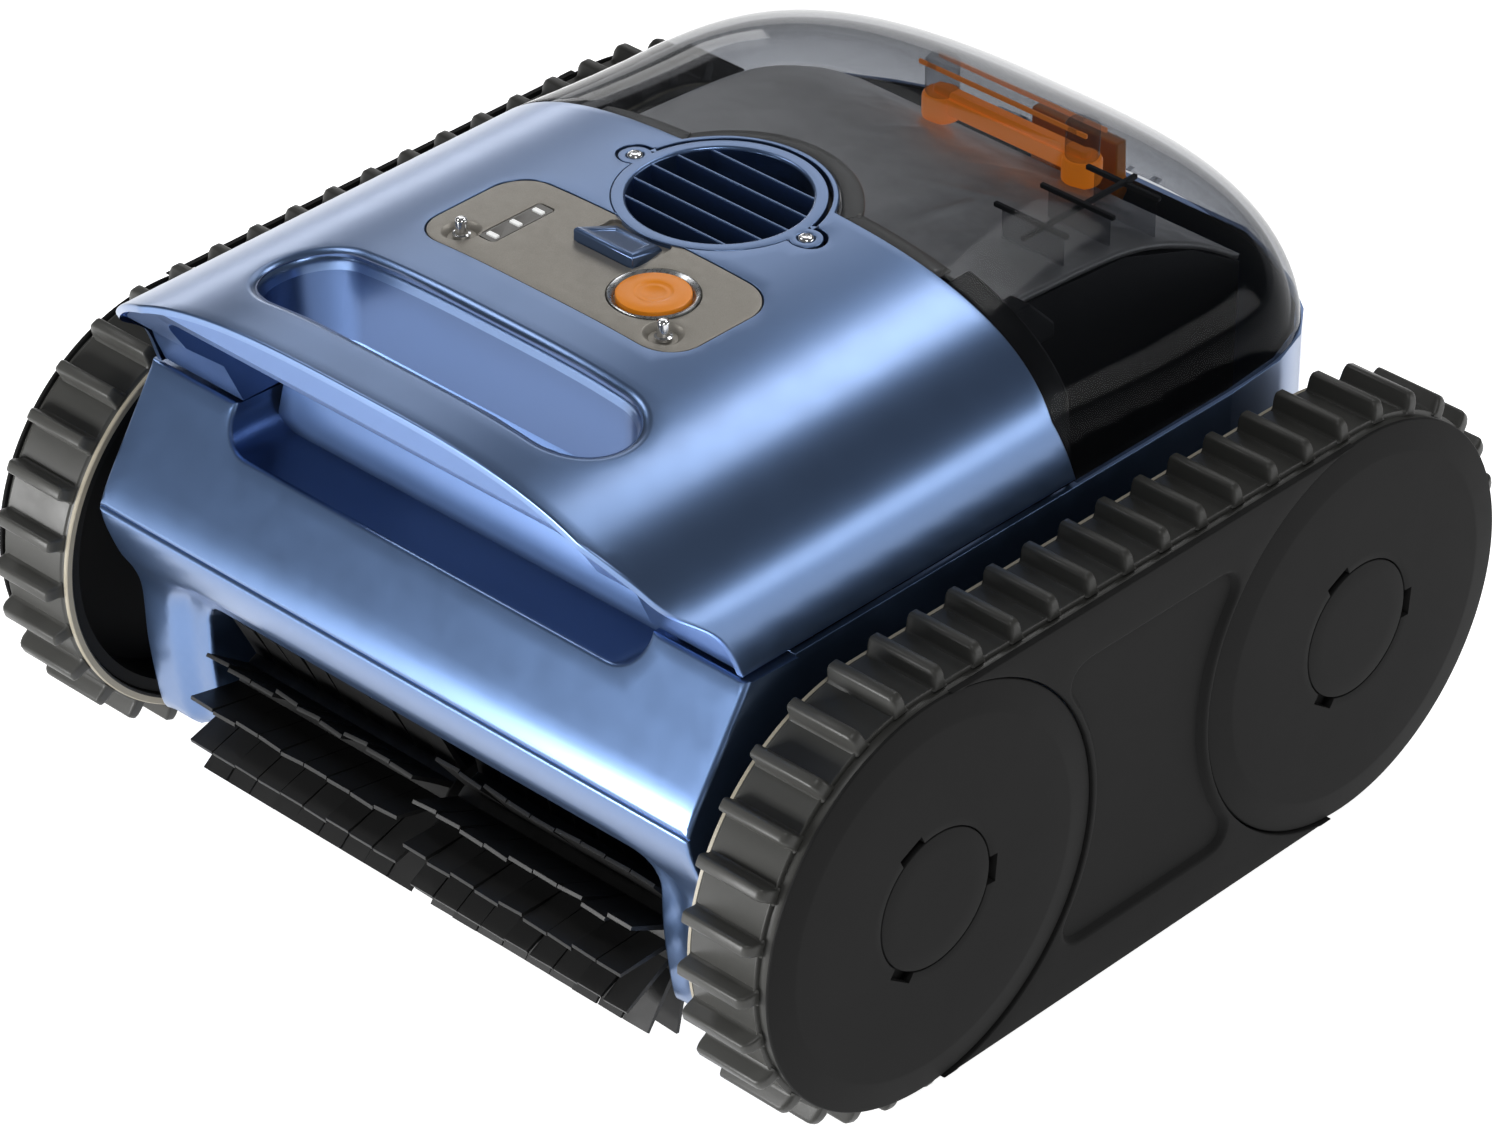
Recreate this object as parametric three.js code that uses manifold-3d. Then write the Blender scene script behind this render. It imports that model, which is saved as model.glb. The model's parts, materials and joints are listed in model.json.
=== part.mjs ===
import * as THREE from 'three';
import Module from 'manifold-3d';
import { mergeVertices } from 'three/addons/utils/BufferGeometryUtils.js';

// Cordless tracked pool cleaner. Millimetres, +Z up, front faces -Y, X = 0 is the plane of symmetry.
// The ground is Z = 0 and Y = 0 lies midway between the front and rear wheels.

const wasm = await Module();
wasm.setup();
const group = new THREE.Group();

// Driving dimensions
const overallWidth = 407;
const trackHeight = 184;
const wheelBase = 233.4;
const shellTop = 253;
const gap = 0.4;

// Tracks
const halfWidth = overallWidth / 2;
const axleZ = trackHeight / 2;
const axleY = wheelBase / 2;
const cleatTipRadius = axleZ;
const beltRadius = cleatTipRadius - 7.3;
const beltInnerRadius = beltRadius - 4.5;
const coverThickness = 3.2;
const beltInnerX = halfWidth - 40.7;
const drumInnerX = halfWidth - 38;
const drumWebX = halfWidth - 16;
const hubSeatX = halfWidth - 10.4;
const axleEndX = hubSeatX - 0.8;
const beltOuterX = halfWidth - coverThickness - gap;
const cleatsPerBelt = 50;

// Body
const bodyHalfWidth = 152;
const shoulderExponent = 3;
const shoulderZ = 170;
const wall = 3;
const frontLip = -199.6;
const seamY = 6;
const shellBottomZ = 183;
const noseCreaseZ = 130.8;
const hullTopZ = 181;
const hullBottomZ = 24;
const hullRearY = 196;
const bulkheadY = -134.5;
const bayRearY = -98;

// Brush
const brushY = -144.5;
const brushZ = 46;
const brushRadius = 43;
const brushHalfLength = 115;
const paddleCount = 14;

// Outlet
const outletY = -14.5;
const outletRadius = 34.5;
const grilleRadius = 40;
const bulgeRadius = 44;
const earRadius = 6.5;
const earX = 43.4;
const ductWall = 2.8;
const louvrePitch = 11.4;

// Grip and panel on top
const pocketFront = -178;
const pocketRear = -129;
const pocketHalfLength = 91;
const pocketCorner = 24.4;
const gripHalfWidth = 105;
const panelOutline = { x0: -67, x1: 65, y0: -107.5, y1: -51, radius: 15 };
const panelBottom = 249.8;
const panelTop = 252.4;
const ledWindow = { x0: -44, x1: -36.4, y0: -94.6, y1: -63.4 };
const ledCentres = [-91, -79.3, -67.8];
const buttonX = 31;
const buttonY = -80.5;
const buttonRadius = 14;
const pinX = 51.2;
const pinY = -96.2;
const wedgePlan = { x0: -16, x1: 14, y0: -74, y1: -55.4 };

// Underside and rear
const intakeHalfWidth = 62;
const intakeFront = 62;
const intakeRear = 104;
const rearCurveStart = 71.6;
const rearCurveLength = 148.9;
const lidRise = 1.5;
const lidExponent = 2.4;
const filterHalfWidth = 98;
const filterTopLine = [[36, 222], [100, 217], [140, 203], [168, 186]];
const handleX = 36;
const handleY = 147;

// Wheels
const coverRadius = 83.9;
const hubRadius = 28;
const axleRadius = 8;
const coverInnerX = halfWidth - coverThickness;
const hubNotchAngles = [25, 145, 265];

const palette = {
  blue: 0x4f78ad,
  darkBlue: 0x2c4670,
  black: 0x222222,
  rubber: 0x373735,
  graphite: 0x6c6a66,
  orange: 0xff9d1e,
  chrome: 0xd8dadd,
  smoke: 0x5a6066,
  mesh: 0x8c8f92,
  white: 0xf4f4f2,
  steel: 0xa5a8aa,
};

// ---- solid helpers ----

function toManifold(geometry) {
  const bare = geometry.clone();
  bare.deleteAttribute('normal');
  bare.deleteAttribute('uv');
  const merged = mergeVertices(bare, 1e-3);
  const vertProperties = Float32Array.from(merged.attributes.position.array);
  const triVerts = Uint32Array.from(merged.index.array);
  return new wasm.Manifold(new wasm.Mesh({ numProp: 3, vertProperties, triVerts }));
}

function toGeometry(manifold) {
  const result = manifold.getMesh();
  const geometry = new THREE.BufferGeometry();
  const positions = new Float32Array(result.vertProperties);
  geometry.setAttribute('position', new THREE.BufferAttribute(positions, 3));
  geometry.setIndex(new THREE.BufferAttribute(new Uint32Array(result.triVerts), 1));
  geometry.computeVertexNormals();
  return geometry;
}

// Booleans take geometries or earlier boolean results and return manifold solids.
function asSolid(item) {
  return item instanceof THREE.BufferGeometry ? toManifold(item) : item;
}

function join(...items) {
  return items.map(asSolid).reduce((a, b) => a.add(b));
}

function cut(base, ...tools) {
  return tools.map(asSolid).reduce((a, b) => a.subtract(b), asSolid(base));
}

function common(a, b) {
  return asSolid(a).intersect(asSolid(b));
}

function toShape(outline) {
  if (outline instanceof THREE.Shape) return outline;
  return new THREE.Shape(outline.map(([a, b]) => new THREE.Vector2(a, b)));
}

function extrude(outline, depth, curveSegments = 5) {
  return new THREE.ExtrudeGeometry(toShape(outline), { depth, bevelEnabled: false, curveSegments });
}

// Outline drawn in (Y, Z), swept from x0 to x1.
function sweepX(outline, x0, x1, curveSegments) {
  const basis = new THREE.Matrix4().makeBasis(
    new THREE.Vector3(0, 1, 0), new THREE.Vector3(0, 0, 1), new THREE.Vector3(1, 0, 0));
  return extrude(outline, x1 - x0, curveSegments).applyMatrix4(basis).translate(x0, 0, 0);
}

// Outline drawn in (X, Z), swept from y0 to y1.
function sweepY(outline, y0, y1, curveSegments) {
  const basis = new THREE.Matrix4().makeBasis(
    new THREE.Vector3(1, 0, 0), new THREE.Vector3(0, 0, 1), new THREE.Vector3(0, -1, 0));
  return extrude(outline, y1 - y0, curveSegments).applyMatrix4(basis).translate(0, y1, 0);
}

// Outline drawn in (X, Y), swept from z0 to z1.
function sweepZ(outline, z0, z1, curveSegments) {
  return extrude(outline, z1 - z0, curveSegments).translate(0, 0, z0);
}

function box(x0, x1, y0, y1, z0, z1) {
  const geometry = new THREE.BoxGeometry(x1 - x0, y1 - y0, z1 - z0);
  return geometry.translate((x0 + x1) / 2, (y0 + y1) / 2, (z0 + z1) / 2);
}

function cylinderX(radius, x0, x1, y, z, segments = 24) {
  const geometry = new THREE.CylinderGeometry(radius, radius, x1 - x0, segments);
  return geometry.rotateZ(Math.PI / 2).translate((x0 + x1) / 2, y, z);
}

function cylinderZ(radius, z0, z1, x, y, segments = 24) {
  const geometry = new THREE.CylinderGeometry(radius, radius, z1 - z0, segments);
  return geometry.rotateX(Math.PI / 2).translate(x, y, (z0 + z1) / 2);
}

// Closed profile of [radius, x] pairs turned about an axis parallel to X.
function turnX(profile, y, z, segments = 30) {
  const points = profile.map(([r, x]) => new THREE.Vector2(r, x));
  return new THREE.LatheGeometry(points, segments).rotateZ(-Math.PI / 2).translate(0, y, z);
}

// Closed profile of [radius, z] pairs turned about an axis parallel to Z.
function turnZ(profile, x, y, segments = 24) {
  const points = profile.map(([r, z]) => new THREE.Vector2(r, z));
  return new THREE.LatheGeometry(points, segments).rotateX(Math.PI / 2).translate(x, y, 0);
}

function roundedRectangle(a0, a1, b0, b1, radius) {
  const shape = new THREE.Shape();
  shape.absarc(a1 - radius, b0 + radius, radius, -Math.PI / 2, 0);
  shape.absarc(a1 - radius, b1 - radius, radius, 0, Math.PI / 2);
  shape.absarc(a0 + radius, b1 - radius, radius, Math.PI / 2, Math.PI);
  shape.absarc(a0 + radius, b0 + radius, radius, Math.PI, 1.5 * Math.PI);
  return shape;
}

function mirrorX(item) {
  return asSolid(item).mirror([1, 0, 0]);
}

function addPart(name, item, color, roughness = 0.5, metalness = 0) {
  const material = new THREE.MeshStandardMaterial({ color, roughness, metalness });
  const mesh = new THREE.Mesh(item instanceof THREE.BufferGeometry ? item : toGeometry(item), material);
  mesh.name = name;
  group.add(mesh);
}

// Adds a right-hand part and its mirror image.
function addPair(name, item, color, roughness, metalness) {
  addPart(`${name}_right`, item, color, roughness, metalness);
  addPart(`${name}_left`, mirrorX(item), color, roughness, metalness);
}

// ---- shared outlines ----

// Upper half of the body section at an inset from the outer skin, closed by a flat bottom below the seam.
function bodySection(inset, steps = 18) {
  const a = bodyHalfWidth - inset;
  const h = shellTop - shoulderZ - inset;
  const points = [];
  for (let i = 0; i <= steps; i += 1) {
    const angle = (Math.PI * i) / steps;
    const c = Math.cos(angle);
    const x = Math.sign(c) * a * Math.abs(c) ** (2 / shoulderExponent);
    points.push([x, shoulderZ + h * Math.sin(angle) ** (2 / shoulderExponent)]);
  }
  return [[-a, shoulderZ - 10], [a, shoulderZ - 10], ...points];
}

// Side view of the upper body: raked front edge below the lip and the rear edge at the lid seam.
function upperBodySide(inset, bottom) {
  return [
    [-159.5 + inset, bottom], [seamY + 8 - inset, bottom], [seamY - inset, bottom + 26],
    [seamY - inset, shellTop + 10], [frontLip + inset, shellTop + 10], [frontLip + inset, 240],
    [-193 + inset, 229], [-185.5 + inset, 217.5], [-168 + inset, 202],
  ];
}

function stadium(radius, steps = 16) {
  const shape = new THREE.Shape();
  const arc = (y, from) => {
    for (let i = 0; i <= steps; i += 1) {
      const angle = from + (Math.PI * i) / steps;
      const point = [y + radius * Math.cos(angle), axleZ + radius * Math.sin(angle)];
      if (shape.curves.length || i || y < 0) shape.lineTo(...point);
      else shape.moveTo(...point);
    }
  };
  arc(axleY, -Math.PI / 2);
  arc(-axleY, Math.PI / 2);
  return shape;
}

// The body narrows towards the rear by a power curve.
function rearHalfWidth(y) {
  const t = Math.max((y - rearCurveStart) / rearCurveLength, 0);
  return bodyHalfWidth * (1 - t ** 4.77) ** 1.2;
}

// Plan outline of the rear body at an inset, running round from one front corner to the other.
function bodyPlan(inset, frontY) {
  const rear = hullRearY - inset;
  const stations = [frontY, 100, 130, 150, 165, 178, 188, hullRearY].map((y) => Math.min(y, rear));
  const right = stations.map((y) => [rearHalfWidth(y + inset * 0.4) - inset, y]);
  return [...right, ...right.map(([x, y]) => [-x, y]).reverse()];
}

// ---- tracks and wheels ----

// Point and outward direction on the belt surface at arc length s from the middle of the lower run.
function beltPoint(s) {
  const arc = Math.PI * beltRadius;
  const total = 2 * wheelBase + 2 * arc;
  const t = ((s % total) + total) % total;
  const along = [
    [axleY, (u) => [u, axleZ - beltRadius, -Math.PI / 2]],
    [arc, (u) => {
      const angle = u / beltRadius - Math.PI / 2;
      return [axleY + beltRadius * Math.cos(angle), axleZ + beltRadius * Math.sin(angle), angle];
    }],
    [wheelBase, (u) => [axleY - u, axleZ + beltRadius, Math.PI / 2]],
    [arc, (u) => {
      const angle = u / beltRadius + Math.PI / 2;
      return [-axleY + beltRadius * Math.cos(angle), axleZ + beltRadius * Math.sin(angle), angle];
    }],
    [axleY, (u) => [-axleY + u, axleZ - beltRadius, -Math.PI / 2]],
  ];
  let rest = t;
  for (const [length, place] of along) {
    if (rest <= length) return place(rest);
    rest -= length;
  }
  return along[4][1](axleY);
}

function makeBelt() {
  const ring = stadium(beltRadius);
  ring.holes.push(stadium(beltInnerRadius));
  const band = sweepX(ring, beltInnerX, beltOuterX);
  const pitch = (2 * wheelBase + 2 * Math.PI * beltRadius) / cleatsPerBelt;
  const height = cleatTipRadius - beltRadius;
  const cleatSection = [[-4.6, -1], [4.6, -1], [3.2, height], [-3.2, height]];
  const cleat = sweepX(cleatSection, beltInnerX + 2.4, beltOuterX - 2);
  let belt = toManifold(band);
  for (let i = 0; i < cleatsPerBelt; i += 1) {
    const [y, z, angle] = beltPoint((i + 0.5) * pitch);
    const placed = cleat.clone().rotateX(angle - Math.PI / 2).translate(0, y, z);
    belt = belt.add(toManifold(placed));
  }
  return belt;
}

function makeWheel(y) {
  const drumRadius = beltInnerRadius - gap;
  const body = turnX([
    [axleRadius + gap, drumInnerX], [16, drumInnerX], [16, drumWebX], [drumRadius - 5, drumWebX],
    [drumRadius - 5, drumInnerX], [drumRadius, drumInnerX], [drumRadius, coverInnerX],
    [coverRadius, coverInnerX], [coverRadius, halfWidth - 1.2], [coverRadius - 1.4, halfWidth],
    [hubRadius + gap, halfWidth - 0.4], [hubRadius + gap, hubSeatX], [axleRadius + gap, hubSeatX],
    [axleRadius + gap, drumInnerX],
  ], y, axleZ);
  const notches = hubNotchAngles.map((degrees) => {
    const notch = box(halfWidth - 4, halfWidth + 2, hubRadius - 6, hubRadius + 3.4, -5, 5);
    return notch.rotateX(THREE.MathUtils.degToRad(degrees)).translate(0, y, axleZ);
  });
  return cut(body, ...notches);
}

function makeHubCap(y) {
  return turnX([
    [0, hubSeatX + gap], [hubRadius - 3, hubSeatX + gap], [hubRadius - 3, halfWidth - 3],
    [hubRadius, halfWidth - 3],
    [hubRadius, halfWidth - 0.7], [hubRadius - 0.8, halfWidth], [0, halfWidth + 0.2],
  ], y, axleZ, 24);
}

function makeSidePlate() {
  const rise = beltRadius - 0.4;
  const clearance = coverRadius + 0.7;
  const plate = box(coverInnerX, halfWidth - 0.6, -axleY, axleY, axleZ - rise, axleZ + rise);
  const spar = box(bodyHalfWidth + 1.4, coverInnerX + 1, -34, 34, axleZ - 36, axleZ + 36);
  const wheelClearances = [-axleY, axleY].flatMap((y) => [
    cylinderX(clearance, coverInnerX - 0.2, halfWidth + 2, y, axleZ, 48),
    cylinderX(beltInnerRadius + 0.6, 100, coverInnerX + 0.1, y, axleZ, 36),
  ]);
  const recess = sweepX(roundedRectangle(-27, 27, 36, 148, 8), halfWidth - 2.4, halfWidth + 1, 4);
  const recessSides = [-axleY, axleY].map((y) => cylinderX(clearance + 9, 150, halfWidth + 3, y, axleZ, 40));
  return cut(join(plate, spar), ...wheelClearances, cut(recess, ...recessSides));
}

function makeIdlerAxle() {
  return turnX([
    [0, 155], [15, 155], [15, 158.6], [axleRadius, 158.6], [axleRadius, axleEndX], [0, axleEndX],
  ], -axleY, axleZ, 20);
}

function makeDriveAxle() {
  return cylinderX(axleRadius, 132, axleEndX, axleY, axleZ);
}

function makeDriveMotor() {
  return turnX([
    [0, 98], [21, 98], [21, 143.6], [axleRadius + gap, 143.6], [axleRadius + gap, 131.4], [0, 131.4],
  ], axleY, axleZ, 20);
}

// ---- hull ----

function makeHull() {
  const side = [
    [bayRearY, hullBottomZ], [165, hullBottomZ], [hullRearY, 62], [hullRearY, hullTopZ],
    [bulkheadY, hullTopZ], [bulkheadY, 95], [bayRearY, 95],
  ];
  const innerSide = [
    [bayRearY + wall, hullBottomZ + wall], [163, hullBottomZ + wall], [hullRearY - wall, 63.5],
    [hullRearY - wall, hullTopZ + 5], [bulkheadY + wall, hullTopZ + 5], [bulkheadY + wall, 98],
    [bayRearY + wall, 98],
  ];
  const outer = common(sweepZ(bodyPlan(0, bulkheadY - 5), 10, 200), sweepX(side, -160, 160));
  const inner = common(sweepZ(bodyPlan(wall, bulkheadY - 5), 10, 210), sweepX(innerSide, -160, 160));
  const intakePlan = roundedRectangle(-intakeHalfWidth, intakeHalfWidth, intakeFront, intakeRear, 8);
  const axleHole = cylinderX(axleRadius + gap, 145, 160, axleY, axleZ);
  return cut(outer, inner, sweepZ(intakePlan, 0, 40, 4), axleHole, mirrorX(axleHole));
}

function makeNose() {
  const outer = [
    [-159.5, shellBottomZ - gap], [-168.5, 168], [-178, 153], [-186.5, 139.5], [-190.3, noseCreaseZ + gap],
  ];
  const back = [[bulkheadY - gap, noseCreaseZ + gap], [bulkheadY - gap, shellBottomZ - gap]];
  const inner = [
    [-156.5, shellBottomZ - wall], [-165, 166.5], [-174.5, 151.5], [-183, 138], [-185, noseCreaseZ + wall],
    [bulkheadY + 2, noseCreaseZ + wall], [bulkheadY + 2, shellBottomZ - wall],
  ];
  const block = sweepX([...outer, ...back], -bodyHalfWidth - 1.5, bodyHalfWidth + 1.5);
  const cavity = sweepX(inner, -bodyHalfWidth + 1.5, bodyHalfWidth - 1.5);
  const notch = sweepY(roundedRectangle(-107, 107, 168, 215, 14), -200, bulkheadY + 4, 5);
  return cut(block, cavity, notch);
}

function makeApron() {
  const side = [
    [-190.3, noseCreaseZ - gap], [-188.5, 122], [-182.5, 107], [-176, 96], [-172.5, 85], [-171, 60],
    [-166, 30], [-160, hullBottomZ + 1], [bayRearY - gap, hullBottomZ + 1], [bayRearY - gap, 94.6],
    [bulkheadY - gap, 94.6], [bulkheadY - gap, noseCreaseZ - gap],
  ];
  const block = sweepX(side, -bodyHalfWidth - 1.5, bodyHalfWidth + 1.5);
  const mouth = sweepY(roundedRectangle(-118.5, 118.5, -20, 93, 12), -205, brushY, 4);
  const bay = cylinderX(brushRadius + 3.5, -118.5, 118.5, brushY, brushZ, 32);
  const belly = box(-118.5, 118.5, brushY, bayRearY + 2, -20, brushZ);
  const bushSeat = cylinderX(9.4, 110, 127, brushY, brushZ, 24);
  return cut(block, mouth, bay, belly, bushSeat, mirrorX(bushSeat));
}

// ---- upper shell, handle and top fittings ----

// Plan of the hand pocket at an inset from its rim.
function pocketPlan(inset, corner) {
  return roundedRectangle(inset - pocketHalfLength, pocketHalfLength - inset, pocketFront + inset,
    pocketRear - inset, corner);
}

function panelPlan(margin, radius) {
  const { x0, x1, y0, y1 } = panelOutline;
  return roundedRectangle(x0 - margin, x1 + margin, y0 - margin, y1 + margin, radius);
}

// The outlet ring with an ear round each screw.
function grilleOutline(margin, z0, z1) {
  const ring = cylinderZ(grilleRadius + margin, z0, z1, 0, outletY, 36);
  const ears = [-earX, earX].map((x) => cylinderZ(earRadius + margin, z0, z1, x, outletY, 20));
  return join(ring, ...ears);
}

function wedgeOutline(margin) {
  const { x0, x1, y0, y1 } = wedgePlan;
  return roundedRectangle(x0 - margin, x1 + margin, y0 - margin, y1 + margin, 3);
}

function makeUpperShell() {
  const outer = sweepY(bodySection(0), frontLip - 5, 60);
  const inner = sweepY(bodySection(wall), frontLip - 10, 70);
  const skin = cut(outer, inner);
  const bulge = cylinderZ(bulgeRadius, 235, 260, 0, outletY, 44);
  const region = join(sweepX(upperBodySide(0, shellBottomZ), -160, 160), bulge);
  const pocket = sweepZ(pocketPlan(0, pocketCorner), 240, 260);
  const panelSeat = sweepZ(panelPlan(gap, panelOutline.radius), 240, 260, 6);
  const ledge = sweepZ(panelPlan(4, panelOutline.radius), 246.6, panelBottom - gap, 6);
  const ledgeHole = sweepZ(panelPlan(-4, panelOutline.radius - 4), 240, 260, 6);
  const shell = cut(common(skin, region), pocket, panelSeat, grilleOutline(gap, 240, 260));
  return join(shell, cut(ledge, ledgeHole, cylinderZ(grilleRadius + gap, 240, 260, 0, outletY, 36)));
}

function makePocketLiner() {
  const outer = pocketPlan(gap, pocketCorner - gap);
  const inner = pocketPlan(wall, pocketCorner - wall);
  const tube = cut(sweepZ(outer, 212.5, 251.2), sweepZ(inner, 200, 260));
  const bodyTop = sweepY(bodySection(1.2), -190, -120);
  const fingerWindow = sweepY(roundedRectangle(-84, 84, 200, 236, 6), -190, -152, 4);
  return cut(common(tube, bodyTop), fingerWindow);
}

function makeGripLiner() {
  const clearance = wall + gap;
  const interior = sweepY(bodySection(clearance), frontLip - 5, bulkheadY + 20);
  const sideRegion = sweepX([
    ...upperBodySide(1.6, shellBottomZ + gap).slice(6), [-159.5 + 1.6, shellBottomZ + gap],
    [-133, shellBottomZ + gap], [-124, 211.8], [-124, 240], [-124, 252], [frontLip + 1.6, 252],
    [frontLip + 1.6, 240],
  ], -150, 150);
  const flanks = common(interior, sideRegion);
  const window = sweepY(roundedRectangle(-gripHalfWidth, gripHalfWidth, 150, 236, 10), -210, -141, 5);
  const pocketBore = sweepZ(pocketPlan(0, pocketCorner), 211.8, 262);
  const openFront = [[-142, 150], [-142, 172], [-130, 212.2], [-130, 215], [-220, 215], [-220, 150]];
  const windowBack = sweepX(openFront, -gripHalfWidth, gripHalfWidth);
  const behind = [[-138.8, 150], [-138.8, 172], [-127, 211], [-110, 211], [-110, 150]];
  const rearCut = sweepX(behind, -152, 152);
  const rearTop = box(-152, 152, -127, -100, 205, 260);
  const wallSide = [[-142, 152], [-142, 172], [-130, 211.8], [-127, 211.8], [-138.8, 172], [-138.8, 152]];
  const backWall = sweepX(wallSide, 1 - gripHalfWidth, gripHalfWidth - 1);
  return join(cut(flanks, window, pocketBore, windowBack, rearCut, rearTop), backWall);
}

function makePanel() {
  const { x0, x1, y0, y1 } = ledWindow;
  const plate = sweepZ(panelPlan(0, panelOutline.radius), panelBottom, panelTop, 6);
  const windowSeat = sweepZ(roundedRectangle(x0 - gap, x1 + gap, y0 - gap, y1 + gap, 1.5), 240, 260, 3);
  const buttonSeat = cylinderZ(buttonRadius + 3.4, 240, 260, buttonX, buttonY);
  const pinSeats = [-pinX, pinX].map((x) => cylinderZ(5.4, 240, 260, x, pinY, 16));
  const wedgeSeat = sweepZ(wedgeOutline(gap), 240, 260, 3);
  const grilleSeat = cylinderZ(grilleRadius + 1, 240, 260, 0, outletY, 36);
  return cut(plate, windowSeat, buttonSeat, ...pinSeats, wedgeSeat, grilleSeat);
}

function makeLedWindow() {
  const { x0, x1, y0, y1 } = ledWindow;
  const base = sweepZ(roundedRectangle(x0, x1, y0, y1, 1.2), 249.6, 252, 3);
  const seats = ledCentres.map((y) => box(x0 + 1, x1 - 1, y - 1.4, y + 1.4, 251, 255));
  return cut(base, ...seats);
}

function makeWedge() {
  const side = [
    [-74, 249.9], [-55, 249.9], [-55, 252.6], [-58, 253.2], [-67, 257.6], [-73, 258.4], [-74.4, 256.6],
  ];
  const plan = sweepZ(wedgeOutline(0), 240, 270, 3);
  return common(sweepX(side, -20, 20), plan);
}

function makeGrille() {
  const plate = grilleOutline(0, 248.6, 252.9);
  const opening = cylinderZ(outletRadius, 240, 260, 0, outletY, 36);
  const screwHoles = [-earX, earX].map((x) => cylinderZ(3.6, 240, 260, x, outletY, 12));
  const frame = cut(plate, opening, ...screwHoles);
  const disc = cylinderZ(outletRadius + 1, 230, 256, 0, outletY, 36);
  const louvres = [-2, -1, 0, 1, 2].map((i) => {
    const y = outletY + i * louvrePitch;
    return box(-60, 60, y - 0.8, y + 0.8, 238, 252.3);
  });
  const slats = common(join(...louvres), disc);
  return join(frame, slats);
}

function makeOutletDuct() {
  const inner = outletRadius + 0.8;
  const outer = inner + ductWall;
  return turnZ([[inner, 160], [outer, 160], [outer, 236], [inner, 236], [inner, 160]], 0, outletY, 28);
}

function makeImpeller() {
  const hub = turnZ([[4.4, 176], [11, 176], [9, 200], [4.4, 200], [4.4, 176]], 0, outletY, 24);
  const blades = [0, 1, 2, 3, 4].map((i) => {
    const blade = box(8, 32, -1, 1, -9, 9).rotateX(THREE.MathUtils.degToRad(38));
    return blade.translate(0, 0, 188).rotateZ((i * 2 * Math.PI) / 5).translate(0, outletY, 0);
  });
  return join(hub, ...blades);
}

// ---- lid, filter and interior ----

// Half section of the lid at station y, inset by the wall thickness when asked.
function lidSection(y, inset, steps) {
  const blend = 1 - (1 - Math.min((y - seamY) / (rearCurveStart - seamY), 1)) ** 2;
  const t = Math.max((y - rearCurveStart) / rearCurveLength, 0);
  const exponent = shoulderExponent + (lidExponent - shoulderExponent) * blend;
  const height = (shellTop - shoulderZ + lidRise * blend) * (1 - t ** 2.07) ** 0.75 - inset;
  const width = rearHalfWidth(y) - inset;
  return Array.from({ length: steps + 1 }, (_, i) => {
    const angle = 0.045 * Math.PI + (0.91 * Math.PI * i) / steps;
    const c = Math.cos(angle);
    const x = Math.sign(c) * width * Math.abs(c) ** (2 / shoulderExponent);
    return [x, shoulderZ + height * Math.sin(angle) ** (2 / exponent)];
  });
}

// Closed solid through a run of sections standing on a flat floor.
function loftSections(stations, inset, floor) {
  const steps = 18;
  const overFloor = ([x, z]) => [x, Math.max(z, floor + 1)];
  const rings = stations.map((y) => lidSection(y, inset, steps).map(overFloor));
  const columns = rings.map((ring) => [[ring[0][0], floor], ...ring, [ring[steps][0], floor]]);
  const positions = columns.flatMap((ring, j) => ring.flatMap(([x, z]) => [x, stations[j], z]));
  const count = columns[0].length;
  const index = [];
  for (let j = 0; j < stations.length - 1; j += 1) {
    for (let i = 0; i < count; i += 1) {
      const a = j * count + i;
      const b = j * count + ((i + 1) % count);
      index.push(a, a + count, b, b, a + count, b + count);
    }
  }
  const last = (stations.length - 1) * count;
  for (let i = 1; i < count - 1; i += 1) {
    index.push(0, i, i + 1);
    index.push(last, last + i + 1, last + i);
  }
  const geometry = new THREE.BufferGeometry();
  geometry.setAttribute('position', new THREE.BufferAttribute(new Float32Array(positions), 3));
  geometry.setIndex(index);
  return geometry;
}

function makeLid() {
  const outerStations = [seamY + gap, 30, 71, 100, 125, 145, 162, 176, 187, hullRearY];
  const innerStations = outerStations.map((y, i) => (i === 0 ? seamY - 10 : Math.min(y, hullRearY - wall)));
  const unique = innerStations.filter((y, i) => i === 0 || y > innerStations[i - 1]);
  const outer = loftSections(outerStations, 0, hullTopZ + gap);
  const inner = loftSections(unique, wall, hullTopZ - 5);
  const bulge = cylinderZ(bulgeRadius + gap, 225, 270, 0, outletY, 44);
  const seamWedge = sweepX([[0, 170], [seamY + 8 + gap, 170], [seamY + 8 + gap, 183], [seamY + gap, 209],
    [0, 209]], -170, 170);
  return cut(outer, inner, bulge, seamWedge);
}

function makeLidSeal() {
  const outer = sweepY(bodySection(wall + 1.6), seamY - 6, seamY + 3);
  const inner = sweepY(bodySection(wall + 4.6), seamY - 8, seamY + 7);
  const below = box(-160, 160, seamY - 10, seamY + 10, 140, 186);
  const bore = cylinderZ(39, 225, 270, 0, outletY, 36);
  const ring = cylinderZ(42.5, 243.5, 248, 0, outletY, 36);
  const front = box(-60, 60, -80, seamY - 6, 230, 260);
  return cut(join(cut(outer, inner), cut(ring, front)), below, bore, grilleOutline(gap, 248.1, 260));
}

function makeLidLatch() {
  const side = [[184, 176], [188, 172], [191.8, 176], [190.5, 186], [190, 200], [184, 200]];
  return sweepX(side, -22, 22);
}

function makeHingeArm() {
  const side = [[14, 224], [20, 214], [44, 214], [44, 220], [30, 234], [14, 234]];
  return sweepX(side, 103, 113);
}

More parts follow.
